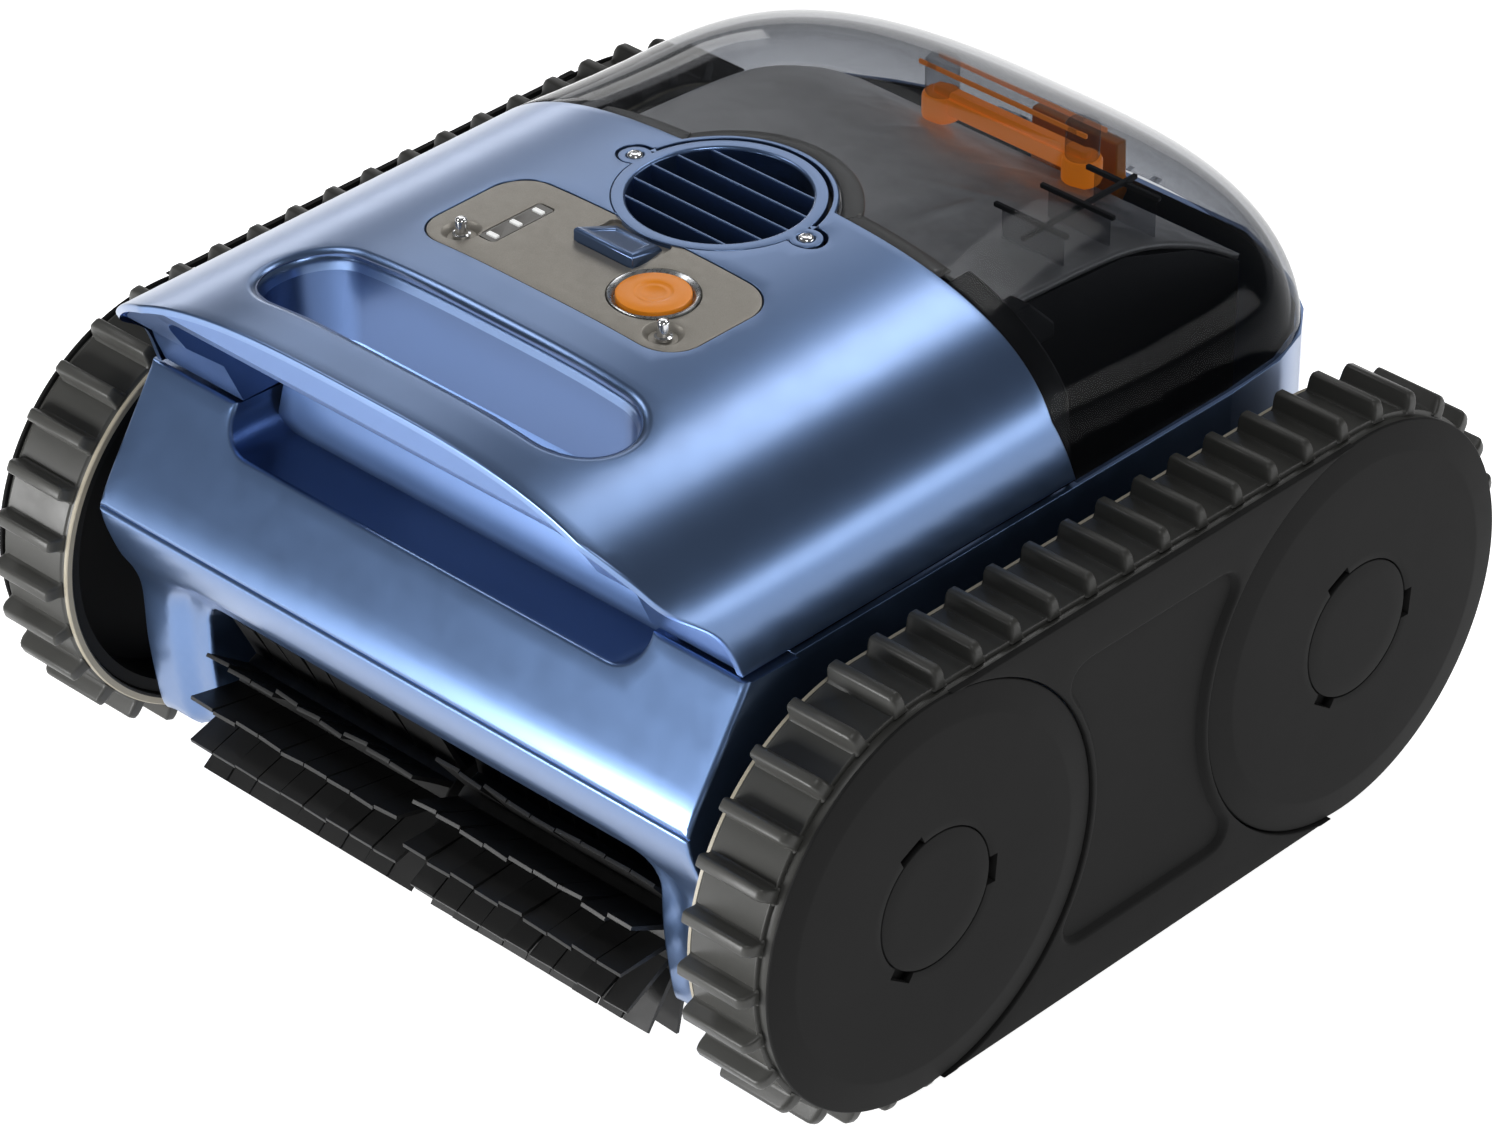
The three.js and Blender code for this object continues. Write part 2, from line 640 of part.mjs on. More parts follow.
function makeFilterBasket() {
  const side = [[36, 61.5], [160, 61.5], [168, 75], ...[...filterTopLine].reverse()];
  const inner = [[39, 64.5], [158.5, 64.5], [165, 76], [165, 195], [140, 212], [100, 225], [39, 228]];
  const intakePlan = roundedRectangle(-intakeHalfWidth, intakeHalfWidth, intakeFront, intakeRear, 6);
  const mouth = sweepZ(intakePlan, 50, 70, 4);
  const windows = [-62, 0, 62].map((x) => sweepY(roundedRectangle(x - 24, x + 24, 84, 184, 6), 20, 50, 3));
  const block = sweepX(side, -filterHalfWidth, filterHalfWidth);
  return cut(block, sweepX(inner, wall - filterHalfWidth, filterHalfWidth - wall), mouth, ...windows);
}

function makeFilterTop() {
  const under = filterTopLine.map(([y, z]) => [y, z + gap]);
  const over = filterTopLine.map(([y, z]) => [y, z + gap + wall]).reverse();
  const feet = [-handleX, handleX].map((x) => cylinderZ(6, 195, 230, x, handleY, 20));
  return cut(sweepX([...under, ...over], -filterHalfWidth, filterHalfWidth), ...feet);
}

function makeFilterHandle() {
  const posts = [-handleX, handleX].map((x) => cylinderZ(5.5, 197, 214, x, handleY, 20));
  const feet = [-handleX, handleX].map((x) => cylinderZ(8, 207, 213, x, handleY, 20));
  const bar = box(-handleX, handleX, handleY - 4.5, handleY + 4.5, 209, 219);
  return join(bar, ...posts, ...feet);
}

function makeIntakeFlap() {
  const half = intakeHalfWidth - 1;
  const plate = box(-half, half, intakeFront + 3, intakeRear - 1, 57, 59.4);
  const barrel = cylinderX(2.6, -half, half, intakeFront + 3.4, 58.2, 16);
  return join(plate, barrel);
}

function makeIntakeDuct() {
  const plan = (inset, corner) => roundedRectangle(inset - intakeHalfWidth, intakeHalfWidth - inset,
    intakeFront + inset, intakeRear - inset, corner);
  return cut(sweepZ(plan(gap, 7), hullBottomZ, 54, 4), sweepZ(plan(wall, 5), 10, 70, 4));
}

// The right half of the brush. The two halves' paddles are staggered by a share of their pitch.
function makeBrush(stagger) {
  const x0 = 2.2;
  const x1 = brushHalfLength;
  const bore = 5.4;
  const core = turnX([[bore, x0], [17, x0], [17, x1], [bore, x1], [bore, x0]], 0, 0, 20);
  const paddles = Array.from({ length: paddleCount }, (_, i) => {
    const paddle = box(x0, x1, -0.9, 0.9, 15, brushRadius);
    const leaning = paddle.rotateX(THREE.MathUtils.degToRad(14)).translate(0, 4, 0);
    return leaning.rotateX((2 * Math.PI * (i + stagger)) / paddleCount);
  });
  const tips = cylinderX(brushRadius, x0 - 1, x1 + 1, 0, 0, 28);
  const sleeve = cut(tips, cylinderX(bore, x0 - 2, x1 + 2, 0, 0, 20));
  return common(join(core, ...paddles), sleeve).translate([0, brushY, brushZ]);
}

function makeBrushShaft() {
  return cylinderX(5, -126, 126, brushY, brushZ, 24);
}

function makeBrushBush() {
  return turnX([[5.3, 118.9], [9, 118.9], [9, 126.6], [5.3, 126.6], [5.3, 118.9]], brushY, brushZ, 24);
}

// ---- assembly ----

addPart('hull_tub', makeHull(), palette.blue, 0.35);
addPart('nose_shell', makeNose(), palette.blue, 0.35);
addPart('brush_apron', makeApron(), palette.blue, 0.35);
addPart('upper_shell', makeUpperShell(), palette.blue, 0.35);
addPart('pocket_liner', makePocketLiner(), palette.blue, 0.35);
addPart('grip_liner', makeGripLiner(), palette.darkBlue, 0.4);
addPart('control_panel', makePanel(), palette.graphite, 0.45, 0.6);
addPart('led_window', makeLedWindow(), palette.black, 0.3);
ledCentres.forEach((y, i) => {
  const bar = box(ledWindow.x0 + 1.3, ledWindow.x1 - 1.3, y - 1.1, y + 1.1, 251.1, 252.5);
  addPart(`led_bar_${i + 1}`, bar, palette.white, 0.4);
});
const ringBore = buttonRadius + gap;
addPart('button_ring', turnZ([
  [ringBore, panelBottom], [17, panelBottom], [17, 252.8], [16.2, 253.3], [15, 252.8], [ringBore, 252.2],
  [ringBore, panelBottom],
], buttonX, buttonY, 28), palette.steel, 0.3, 1);
addPart('power_button', turnZ([
  [0, 248], [buttonRadius, 248], [buttonRadius, 252.6], [13, 253.4], [6, 253], [0, 252.6],
], buttonX, buttonY, 28), palette.orange, 0.4);
const pinBase = [[0, 249.4], [5, 249.4], [5, 252], [3.2, 251], [2.2, 251]];
const pinProfile = [...pinBase, [2.2, 256], [1.6, 257], [0, 257]];
addPart('charge_pin_right', turnZ(pinProfile, pinX, pinY, 16), palette.chrome, 0.15, 1);
addPart('charge_pin_left', turnZ(pinProfile, -pinX, pinY, 16), palette.chrome, 0.15, 1);
addPart('dock_wedge', makeWedge(), palette.blue, 0.35);
addPart('outlet_grille', makeGrille(), palette.blue, 0.35);
const screwProfile = [[0, 244], [2.6, 244], [2.6, 248], [3.2, 250], [3.2, 252.4], [2.2, 253.6], [0, 254]];
addPart('grille_screw_right', turnZ(screwProfile, earX, outletY, 12), palette.chrome, 0.2, 1);
addPart('grille_screw_left', turnZ(screwProfile, -earX, outletY, 12), palette.chrome, 0.2, 1);
addPart('outlet_duct', makeOutletDuct(), palette.black, 0.5);
addPart('impeller', makeImpeller(), palette.orange, 0.4);
addPart('impeller_shaft', cylinderZ(4, 146, 204, 0, outletY, 20), palette.steel, 0.3, 1);
addPart('pump_motor', turnZ([
  [0, 100], [26, 100], [26, 158], [4.6, 158], [4.6, 145.4], [0, 145.4],
], 0, outletY, 32), palette.black, 0.5);
addPart('battery_pack', box(-76, 76, -84, 26, hullBottomZ + wall + gap, 84), palette.black, 0.5);
addPart('control_box', box(-90, 90, -128, -58, 102, 158), palette.black, 0.5);
addPart('lid', makeLid(), palette.smoke, 0.1);
addPart('lid_seal', makeLidSeal(), palette.black, 0.6);
addPart('lid_latch', makeLidLatch(), palette.orange, 0.4);
addPair('lid_hinge_arm', makeHingeArm(), palette.black, 0.5);
addPart('filter_basket', makeFilterBasket(), palette.black, 0.5);
addPart('filter_top', makeFilterTop(), palette.mesh, 0.8);
addPart('filter_handle', makeFilterHandle(), palette.orange, 0.4);
addPart('intake_flap', makeIntakeFlap(), palette.black, 0.6);
addPart('intake_duct', makeIntakeDuct(), palette.black, 0.5);
addPair('belt', makeBelt(), palette.rubber, 0.8);
addPair('side_plate', makeSidePlate(), palette.black, 0.6);
addPair('wheel_front', makeWheel(-axleY), palette.black, 0.6);
addPair('wheel_rear', makeWheel(axleY), palette.black, 0.6);
addPair('hub_cap_front', makeHubCap(-axleY), palette.black, 0.6);
addPair('hub_cap_rear', makeHubCap(axleY), palette.black, 0.6);
addPair('idler_axle', makeIdlerAxle(), palette.steel, 0.3, 1);
addPair('drive_axle', makeDriveAxle(), palette.steel, 0.3, 1);
addPair('drive_motor', makeDriveMotor(), palette.black, 0.5);
addPart('brush_right', makeBrush(0), palette.black, 0.7);
addPart('brush_left', mirrorX(makeBrush(0.5)), palette.black, 0.7);
addPart('brush_shaft', makeBrushShaft(), palette.steel, 0.3, 1);
addPair('brush_bush', makeBrushBush(), palette.black, 0.5);

export default group;
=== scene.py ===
import json
import math
import random

import bmesh
import bpy
import numpy as np
from mathutils import Matrix, Vector
from mathutils.geometry import delaunay_2d_cdt
from mathutils.kdtree import KDTree

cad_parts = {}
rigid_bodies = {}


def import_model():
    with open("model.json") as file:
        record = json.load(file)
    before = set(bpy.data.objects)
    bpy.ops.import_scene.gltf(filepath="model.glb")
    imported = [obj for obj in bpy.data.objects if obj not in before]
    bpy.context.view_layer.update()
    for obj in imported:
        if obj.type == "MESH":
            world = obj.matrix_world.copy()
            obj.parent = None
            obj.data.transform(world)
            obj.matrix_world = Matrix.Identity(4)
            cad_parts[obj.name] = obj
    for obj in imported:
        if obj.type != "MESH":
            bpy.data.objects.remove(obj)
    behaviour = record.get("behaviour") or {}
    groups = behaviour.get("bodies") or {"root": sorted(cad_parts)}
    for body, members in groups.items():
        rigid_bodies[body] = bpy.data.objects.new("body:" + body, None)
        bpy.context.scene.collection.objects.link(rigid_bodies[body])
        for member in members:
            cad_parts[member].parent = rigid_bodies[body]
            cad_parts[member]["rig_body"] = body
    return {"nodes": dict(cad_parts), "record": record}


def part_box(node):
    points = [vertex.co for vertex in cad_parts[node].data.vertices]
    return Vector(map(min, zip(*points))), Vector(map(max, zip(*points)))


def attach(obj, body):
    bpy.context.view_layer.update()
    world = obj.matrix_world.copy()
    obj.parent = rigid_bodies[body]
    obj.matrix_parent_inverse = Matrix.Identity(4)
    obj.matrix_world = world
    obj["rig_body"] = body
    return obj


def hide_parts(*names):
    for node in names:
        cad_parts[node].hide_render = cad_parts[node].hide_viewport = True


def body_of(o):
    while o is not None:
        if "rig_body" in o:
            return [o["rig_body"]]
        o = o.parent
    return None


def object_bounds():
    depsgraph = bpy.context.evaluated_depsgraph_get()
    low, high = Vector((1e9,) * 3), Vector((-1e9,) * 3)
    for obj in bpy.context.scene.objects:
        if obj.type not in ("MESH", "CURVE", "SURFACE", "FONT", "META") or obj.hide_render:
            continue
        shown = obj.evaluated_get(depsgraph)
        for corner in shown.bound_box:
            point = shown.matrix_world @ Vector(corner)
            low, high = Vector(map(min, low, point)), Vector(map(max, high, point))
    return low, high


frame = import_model()
CAD_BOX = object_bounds()

# Geometry below is worked out in millimetres, and put in metres when a mesh is made.
MM = 0.001
CHASSIS = body_of(frame["nodes"]["hull_tub"])[0]
SLOTS = {part["node"]: part["material_slot"] for part in frame["record"]["subparts"]}


def box_mm(node):
    """Low and high corner of a CAD node in millimetres."""
    low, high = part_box(node)
    return low / MM, high / MM


def centre_mm(node):
    """Centre of a CAD node's box in millimetres."""
    low, high = box_mm(node)
    return (low + high) / 2


def radius_mm(node):
    """Radius of a CAD node that is round about an upright axis."""
    low, high = box_mm(node)
    return (high.x - low.x) / 2


# ---- camera, lights and floor ----

VIEW_AZIMUTH = math.radians(43.72)
VIEW_ELEVATION = math.radians(33.76)
VIEW_DISTANCE = 2.392
VIEW_TARGET = Vector((0.0015, 0, 0.083))
LENS = 150.39
WORLD_STRENGTH = 0.13
FLOOR_GLOW = 0.92
FLOOR_GAP = 0.0002

# Azimuth and elevation in degrees, distance, width and height in metres, power in watts.
SOFTBOXES = {
    "light_back": (188, 54, 1.8, 0.5, 0.4, 4.4),
    "light_rear_fill": (222, 33, 2.4, 1.2, 0.7, 4),
    "light_back_left": (238, 11, 1.9, 0.8, 0.22, 2),
    "light_front_left": (-76, 54, 1.7, 0.6, 0.3, 3.6),
    "light_right": (128, 12, 1.6, 1.3, 0.3, 5),
    "light_front": (-11, 5, 1.1, 0.5, 0.22, 13),
    "light_key": (58, 58, 2.0, 0.5, 0.4, 9),
}


def direction(azimuth, elevation):
    """Unit vector from the object; azimuth 0 is straight in front of it."""
    flat = math.cos(elevation)
    return Vector((math.sin(azimuth) * flat, -math.cos(azimuth) * flat, math.sin(elevation)))


def aim(obj, target):
    """Turns a camera or light, which looks along its own -Z, to face the target."""
    obj.rotation_euler = (target - obj.location).to_track_quat("-Z", "Y").to_euler()


def make_camera():
    """The photograph's point of view, from the front right and above."""
    data = bpy.data.cameras.new("camera")
    data.lens = LENS
    data.sensor_fit = "HORIZONTAL"
    data.sensor_width = 36
    data.clip_start = 0.1
    camera = bpy.data.objects.new("camera", data)
    camera.location = VIEW_TARGET + direction(VIEW_AZIMUTH, VIEW_ELEVATION) * VIEW_DISTANCE
    aim(camera, VIEW_TARGET)
    bpy.context.scene.collection.objects.link(camera)
    bpy.context.scene.camera = camera


def softbox(name, azimuth, elevation, distance, width, height, power):
    """A rectangular area light aimed at the object."""
    data = bpy.data.lights.new(name, "AREA")
    data.shape = "RECTANGLE"
    data.size = width
    data.size_y = height
    data.energy = power
    light = bpy.data.objects.new(name, data)
    light.location = VIEW_TARGET + direction(math.radians(azimuth), math.radians(elevation)) * distance
    aim(light, VIEW_TARGET)
    bpy.context.scene.collection.objects.link(light)


def make_lights():
    """A dim white world and the softboxes whose reflections give the paint its highlights."""
    world = bpy.data.worlds.new("studio")
    world.use_nodes = True
    background = world.node_tree.nodes["Background"]
    background.inputs["Color"].default_value = (1, 1, 1, 1)
    background.inputs["Strength"].default_value = WORLD_STRENGTH
    bpy.context.scene.world = world
    for name, placing in SOFTBOXES.items():
        softbox(name, *placing)


def make_floor():
    """A white floor just under the object that glows enough to stay white."""
    low, high = CAD_BOX
    size = 30 * (high - low).length
    mesh = bpy.data.meshes.new("floor")
    corners = [(-size, -size, 0), (size, -size, 0), (size, size, 0), (-size, size, 0)]
    mesh.from_pydata(corners, [], [(0, 1, 2, 3)])
    floor = bpy.data.objects.new("floor", mesh)
    floor.location.z = low.z - FLOOR_GAP
    bpy.context.scene.collection.objects.link(floor)
    material = bpy.data.materials.new("floor_white")
    material.use_nodes = True
    shader = material.node_tree.nodes["Principled BSDF"]
    shader.inputs["Base Color"].default_value = (0.9, 0.9, 0.9, 1)
    shader.inputs["Roughness"].default_value = 0.8
    shader.inputs["Specular IOR Level"].default_value = 0.1
    shader.inputs["Emission Color"].default_value = (1, 1, 1, 1)
    shader.inputs["Emission Strength"].default_value = FLOOR_GLOW
    mesh.materials.append(material)


# ---- materials ----


def linear(colour):
    """Linear colour of an sRGB one given as three numbers from 0 to 255."""
    return tuple(((c / 255 + 0.055) / 1.055) ** 2.4 if c > 10 else c / 255 / 12.92 for c in colour)


class Graph:
    """A material's node tree with its principled shader and short calls for the usual nodes."""

    def __init__(self, name):
        self.material = bpy.data.materials.new(name)
        self.material.use_nodes = True
        self.nodes = self.material.node_tree.nodes
        self.links = self.material.node_tree.links
        self.shader = self.nodes["Principled BSDF"]
        self.output = self.nodes["Material Output"]
        self.coords = self.add("ShaderNodeTexCoord").outputs["Object"]

    def add(self, kind, **settings):
        """A new node of the kind with its settings."""
        node = self.nodes.new(kind)
        for key, value in settings.items():
            setattr(node, key, value)
        return node

    def set(self, **values):
        """Sets inputs of the principled shader, with _ for each space in a name."""
        for key, value in values.items():
            self.shader.inputs[key.replace("_", " ")].default_value = value

    def noise(self, scale, detail=2.0, roughness=0.5, stretch=None):
        """Noise in the object's own metres, drawn out along an axis by a stretch below 1."""
        node = self.add("ShaderNodeTexNoise")
        node.inputs["Scale"].default_value = scale
        node.inputs["Detail"].default_value = detail
        node.inputs["Roughness"].default_value = roughness
        source = self.coords
        if stretch:
            mapping = self.add("ShaderNodeMapping")
            mapping.inputs["Scale"].default_value = stretch
            self.links.new(source, mapping.inputs["Vector"])
            source = mapping.outputs["Vector"]
        self.links.new(source, node.inputs["Vector"])
        return node.outputs["Fac"]

    def span(self, value, low, high):
        """The middle of a noise's range stretched to run from low to high."""
        node = self.add("ShaderNodeMapRange")
        node.inputs["From Min"].default_value = 0.3
        node.inputs["From Max"].default_value = 0.7
        node.inputs["To Min"].default_value = low
        node.inputs["To Max"].default_value = high
        self.links.new(value, node.inputs["Value"])
        return node.outputs["Result"]

    def mix(self, value, first, second):
        """Colour that goes from the first to the second with the value."""
        node = self.add("ShaderNodeMix", data_type="RGBA")
        node.inputs["A"].default_value = (*first, 1)
        node.inputs["B"].default_value = (*second, 1)
        self.links.new(value, node.inputs["Factor"])
        return node.outputs["Result"]

    def bump(self, height, strength, distance, under=None):
        """Normal of a relief, laid over another normal if one is given."""
        node = self.add("ShaderNodeBump")
        node.inputs["Strength"].default_value = strength
        node.inputs["Distance"].default_value = distance
        self.links.new(height, node.inputs["Height"])
        if under:
            self.links.new(under, node.inputs["Normal"])
        return node.outputs["Normal"]

    def calculate(self, operation, first, *others, clamp=False):
        """Result of a math node; each of the other inputs is a number or the output of a node."""
        node = self.add("ShaderNodeMath", operation=operation, use_clamp=clamp)
        self.links.new(first, node.inputs[0])
        for socket, other in zip(node.inputs[1:], others):
            if isinstance(other, float):
                socket.default_value = other
            else:
                self.links.new(other, socket)
        return node.outputs["Value"]

    def feed(self, output, socket):
        """Links an output to an input of the principled shader."""
        self.links.new(output, self.shader.inputs[socket])


def painted(name, colour, shade, roughness, metallic, grain, coat=0.0, broad=9.0, specular=0.5):
    """Moulded or painted surface: broad soft colour drift, uneven gloss and a fine skin grain."""
    g = Graph(name)
    drift = g.noise(broad, 3.0)
    g.feed(g.mix(drift, linear(colour), linear(shade)), "Base Color")
    g.feed(g.span(g.noise(90, 4.0), roughness - 0.012, roughness + 0.012), "Roughness")
    g.set(Metallic=metallic, Coat_Weight=coat, Coat_Roughness=0.2, Specular_IOR_Level=specular)
    g.feed(g.bump(g.noise(grain, 2.0), 0.06, 0.00004), "Normal")
    return g.material


def rubber(name, colour, shade, roughness):
    """Moulded rubber: a dusty bloom over broad patches and a fine matt grain."""
    g = Graph(name)
    bloom = g.noise(38, 5.0, 0.65)
    g.feed(g.mix(bloom, linear(colour), linear(shade)), "Base Color")
    g.feed(g.span(bloom, roughness - 0.06, roughness + 0.08), "Roughness")
    g.set(Specular_IOR_Level=0.25)
    fine = g.bump(g.noise(1900, 2.0), 0.2, 0.00005)
    g.feed(g.bump(g.noise(240, 3.0), 0.15, 0.0002, fine), "Normal")
    return g.material


def brushed_metal(name, colour, roughness):
    """Bare metal with fine lines drawn along Y."""
    g = Graph(name)
    lines = g.noise(1500, 2.0, stretch=(1, 0.04, 1))
    g.feed(g.mix(g.noise(200, 3.0), linear(colour), linear([c * 0.88 for c in colour])), "Base Color")
    g.feed(g.span(lines, roughness - 0.05, roughness + 0.08), "Roughness")
    g.set(Metallic=1.0)
    g.feed(g.bump(lines, 0.1, 0.00003), "Normal")
    return g.material


def panel_finish():
    """Warm grey metallic plate with a fine speckled grain."""
    g = Graph("panel_grey")
    speckle = g.noise(3200, 2.0, 0.7)
    g.feed(g.mix(speckle, linear((128, 124, 116)), linear((166, 161, 153))), "Base Color")
    g.feed(g.span(g.noise(300, 3.0), 0.36, 0.46), "Roughness")
    g.set(Metallic=0.55)
    g.feed(g.bump(speckle, 0.3, 0.00006), "Normal")
    return g.material


def smoked_plastic(name, tint, sheen):
    """Clear smoked plastic: what is behind it shows through the tint, under a clean surface gloss."""
    g = Graph(name)
    clear = g.add("ShaderNodeBsdfTransparent")
    g.links.new(g.mix(g.noise(14, 2.0), tint, [c * 0.9 for c in tint]), clear.inputs["Color"])
    g.set(Base_Color=(0.02, 0.022, 0.025, 1), Roughness=0.06, Specular_IOR_Level=0.5)
    g.feed(g.bump(g.noise(9, 2.0), 0.08, 0.002), "Normal")
    facing = g.add("ShaderNodeLayerWeight")
    facing.inputs["Blend"].default_value = 0.5
    grazing = g.calculate("POWER", facing.outputs["Facing"], 4.0)
    rim = g.calculate("MULTIPLY_ADD", grazing, 1 - sheen, sheen)
    blend = g.add("ShaderNodeMixShader")
    g.links.new(rim, blend.inputs["Fac"])
    g.links.new(clear.outputs["BSDF"], blend.inputs[1])
    g.links.new(g.shader.outputs["BSDF"], blend.inputs[2])
    g.links.new(blend.outputs["Shader"], g.output.inputs["Surface"])
    return g.material


def filter_sheet():
    """Satin filter cloth, pale at one front corner and darkened by painted shade towards the far one, with
    noise mottling over it.
    """
    g = Graph("filter_mesh")
    axes = g.add("ShaderNodeSeparateXYZ")
    g.links.new(g.coords, axes.inputs["Vector"])
    # Painted shade: the colour darkens along X and Y towards the cloth's far corner, and noise mottles it.
    across = g.calculate("MULTIPLY_ADD", axes.outputs["X"], 3.2, 0.14)
    along = g.calculate("MULTIPLY_ADD", axes.outputs["Y"], 2.6, across)
    shade_and_mottle = g.calculate("MULTIPLY_ADD", g.noise(26, 5.0, 0.65), 0.7, along, clamp=True)
    eased = g.calculate("SUBTRACT", shade_and_mottle, 0.3, clamp=True)
    g.feed(g.mix(eased, linear((235, 233, 229)), linear((52, 54, 58))), "Base Color")
    g.feed(g.span(g.noise(80, 3.0), 0.34, 0.5), "Roughness")
    g.set(Metallic=0.35)
    g.feed(g.bump(g.noise(150, 4.0), 0.35, 0.0006), "Normal")
    return g.material


def glowing(name, colour, strength):
    """Plastic that gives off light: lit from inside for the LEDs, and a painted glow for parts that are no
    lamp but must stay bright behind the smoked lid.
    """
    g = Graph(name)
    g.feed(g.mix(g.noise(900, 2.0), linear(colour), linear([c * 0.94 for c in colour])), "Base Color")
    g.set(Roughness=0.35, Emission_Color=(*linear(colour), 1), Emission_Strength=strength)
    return g.material


def make_materials():
    """Every material by its name; the two colours of each are the ends of its soft drift."""
    return {
        "body_blue": painted("body_blue", (95, 120, 160), (92, 117, 157), 0.3, 0.92, 1700, coat=0.45),
        "inner_blue": painted("inner_blue", (80, 104, 146), (72, 96, 138), 0.34, 0.85, 1700, coat=0.3),
        # Painted shade: a darker copy of the body blue for the pocket liner, which lies in the shade of its
        # recess.
        "pocket_shade_blue": painted("pocket_shade_blue", (66, 88, 128), (60, 82, 121), 0.3, 0.92, 1700, coat=0.3),
        "cover_black": painted("cover_black", (35, 35, 35), (30, 30, 30), 0.5, 0.0, 1800, specular=0.03),
        "inner_black": painted("inner_black", (30, 31, 33), (24, 25, 27), 0.5, 0.0, 2200, specular=0.3),
        "track_rubber": rubber("track_rubber", (60, 60, 58), (50, 50, 48), 0.38),
        "brush_rubber": rubber("brush_rubber", (30, 30, 30), (24, 24, 24), 0.45),
        "panel_grey": panel_finish(),
        "accent_orange": painted("accent_orange", (255, 152, 8), (252, 144, 6), 0.38, 0.0, 1800, coat=0.1),
        # Painted glow: the handle's emission keeps it bright behind the lid's shade; the handle is no lamp.
        "handle_orange": glowing("handle_orange", (255, 140, 22), 0.5),
        "led_white": glowing("led_white", (245, 246, 245), 0.35),
        "lens_black": painted("lens_black", (112, 110, 106), (104, 102, 99), 0.35, 0.2, 1800),
        "chrome": brushed_metal("chrome", (235, 236, 238), 0.12),
        "steel": brushed_metal("steel", (170, 172, 174), 0.28),
        "smoke_clear": smoked_plastic("smoke_clear", (0.76, 0.77, 0.79), 0.05),
        "filter_mesh": filter_sheet(),
        "seal_black": rubber("seal_black", (26, 26, 27), (20, 20, 21), 0.45),
        # Partly the lid flange's own pale colour and partly painted light standing for the lid's refraction
        # along its seam.
        "flange_light": painted("flange_light", (176, 172, 164), (150, 147, 140), 0.3, 0.2, 1600, broad=30),
        # Painted highlight: a pale band on each belt's inner edge stands for the light that edge catches.
        "belt_edge_highlight": painted("belt_edge_highlight", (150, 143, 126), (128, 122, 108), 0.45, 0.0, 1800),
        "impeller_orange": painted("impeller_orange", (235, 130, 30), (220, 118, 24), 0.4, 0.0, 2400),
    }


# ---- mesh tools ----

BOX_FACES = [(0, 1, 3, 2), (4, 6, 7, 5), (0, 4, 5, 1), (2, 3, 7, 6), (0, 2, 6, 4), (1, 5, 7, 3)]
WELD = 0.01


def add_object(name, vertices, faces, material, sharp=32):
    """A piece from vertices in millimetres."""
    mesh = bpy.data.meshes.new(name)
    mesh.from_pydata([Vector(v) * MM for v in vertices], [], faces)
    mesh.validate()
    return dress(name, mesh, material, sharp)


def dress(name, mesh, material, sharp):
    """A piece from a mesh, shaded smooth and with its one material."""
    smooth(mesh, sharp)
    mesh.materials.clear()
    mesh.materials.append(material)
    obj = bpy.data.objects.new(name, mesh)
    bpy.context.scene.collection.objects.link(obj)
    return obj


def smooth(mesh, sharp, merge=0.0):
    """Turns the faces outwards and shades them smooth but for edges over the angle, in degrees."""
    bm = bmesh.new()
    bm.from_mesh(mesh)
    if merge:
        bmesh.ops.remove_doubles(bm, verts=bm.verts, dist=merge * MM)
    bmesh.ops.recalc_face_normals(bm, faces=bm.faces)
    bm.to_mesh(mesh)
    bm.free()
    mesh.shade_smooth()
    mesh.set_sharp_from_angle(angle=math.radians(sharp))


def weld(piece, sharp):
    """Joins the points that lie on each other, and returns the piece."""
    smooth(piece.data, sharp, WELD)
    return piece


def round_edges(piece, width, segments=3, angle=30):
    """Bevels the edges that turn by more than the angle, in degrees."""
    rounding = piece.modifiers.new("rounding", "BEVEL")
    rounding.width = width * MM
    rounding.segments = segments
    rounding.limit_method = "ANGLE"
    rounding.angle_limit = math.radians(angle)


def thicken(piece, thickness):
    """Gives a sheet its thickness, on the side away from its normals."""
    wall = piece.modifiers.new("wall", "SOLIDIFY")
    wall.thickness = thickness * MM
    wall.offset = -1


def settle(piece, node):
    """The piece stands for a CAD node: it rides on the node's body and the node is hidden."""
    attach(piece, body_of(frame["nodes"][node])[0])
    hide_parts(node)


def refined(node, bevel, material=None):
    """A copy of a CAD node's mesh with its facets merged and its edges rounded."""
    sharp = 32
    mesh = frame["nodes"][node].data.copy()
    bm = bmesh.new()
    bm.from_mesh(mesh)
    bmesh.ops.remove_doubles(bm, verts=bm.verts, dist=0.002 * MM)
    bmesh.ops.dissolve_limit(bm, angle_limit=math.radians(0.6), verts=bm.verts, edges=bm.edges)
    bm.to_mesh(mesh)
    bm.free()
    piece = dress(f"{node}_fine", mesh, material or MATERIALS[SLOTS[node]], sharp)
    round_edges(piece, bevel, 2, sharp)
    settle(piece, node)


def strips(rings, closed=True):
    """Quads between rings of equal length, as indices into the rings laid end to end."""
    count = len(rings[0])
    last = count if closed else count - 1
    faces = []
    for j in range(len(rings) - 1):
        for i in range(last):
            a = j * count + i
            b = j * count + (i + 1) % count
            faces.append((a, b, b + count, a + count))
    return faces


def add_rings(vertices, faces, rings, closed=True, caps=False):
    """Adds rings joined by quads to a mesh, with caps also a face over the first and the last of them."""
    base = len(vertices)
    vertices += [v for ring in rings for v in ring]
    faces += [tuple(base + i for i in face) for face in strips(rings, closed)]
    if caps:
        count = len(rings[0])
        faces.append(tuple(range(base, base + count)))
        faces.append(tuple(reversed(range(len(vertices) - count, len(vertices)))))


def inside(points, loop):
    """True for each of the points (rows of an array) that lies inside the closed loop."""
    x, y = points[:, 0:1], points[:, 1:2]
    a = np.array(loop, float)
    b = np.roll(a, -1, axis=0)
    rise = np.where(b[:, 1] == a[:, 1], 1e-12, b[:, 1] - a[:, 1])
    crosses = (a[:, 1] > y) != (b[:, 1] > y)
    left = x < a[:, 0] + (b[:, 0] - a[:, 0]) * (y - a[:, 1]) / rise
    return (crosses & left).sum(axis=1) % 2 == 1


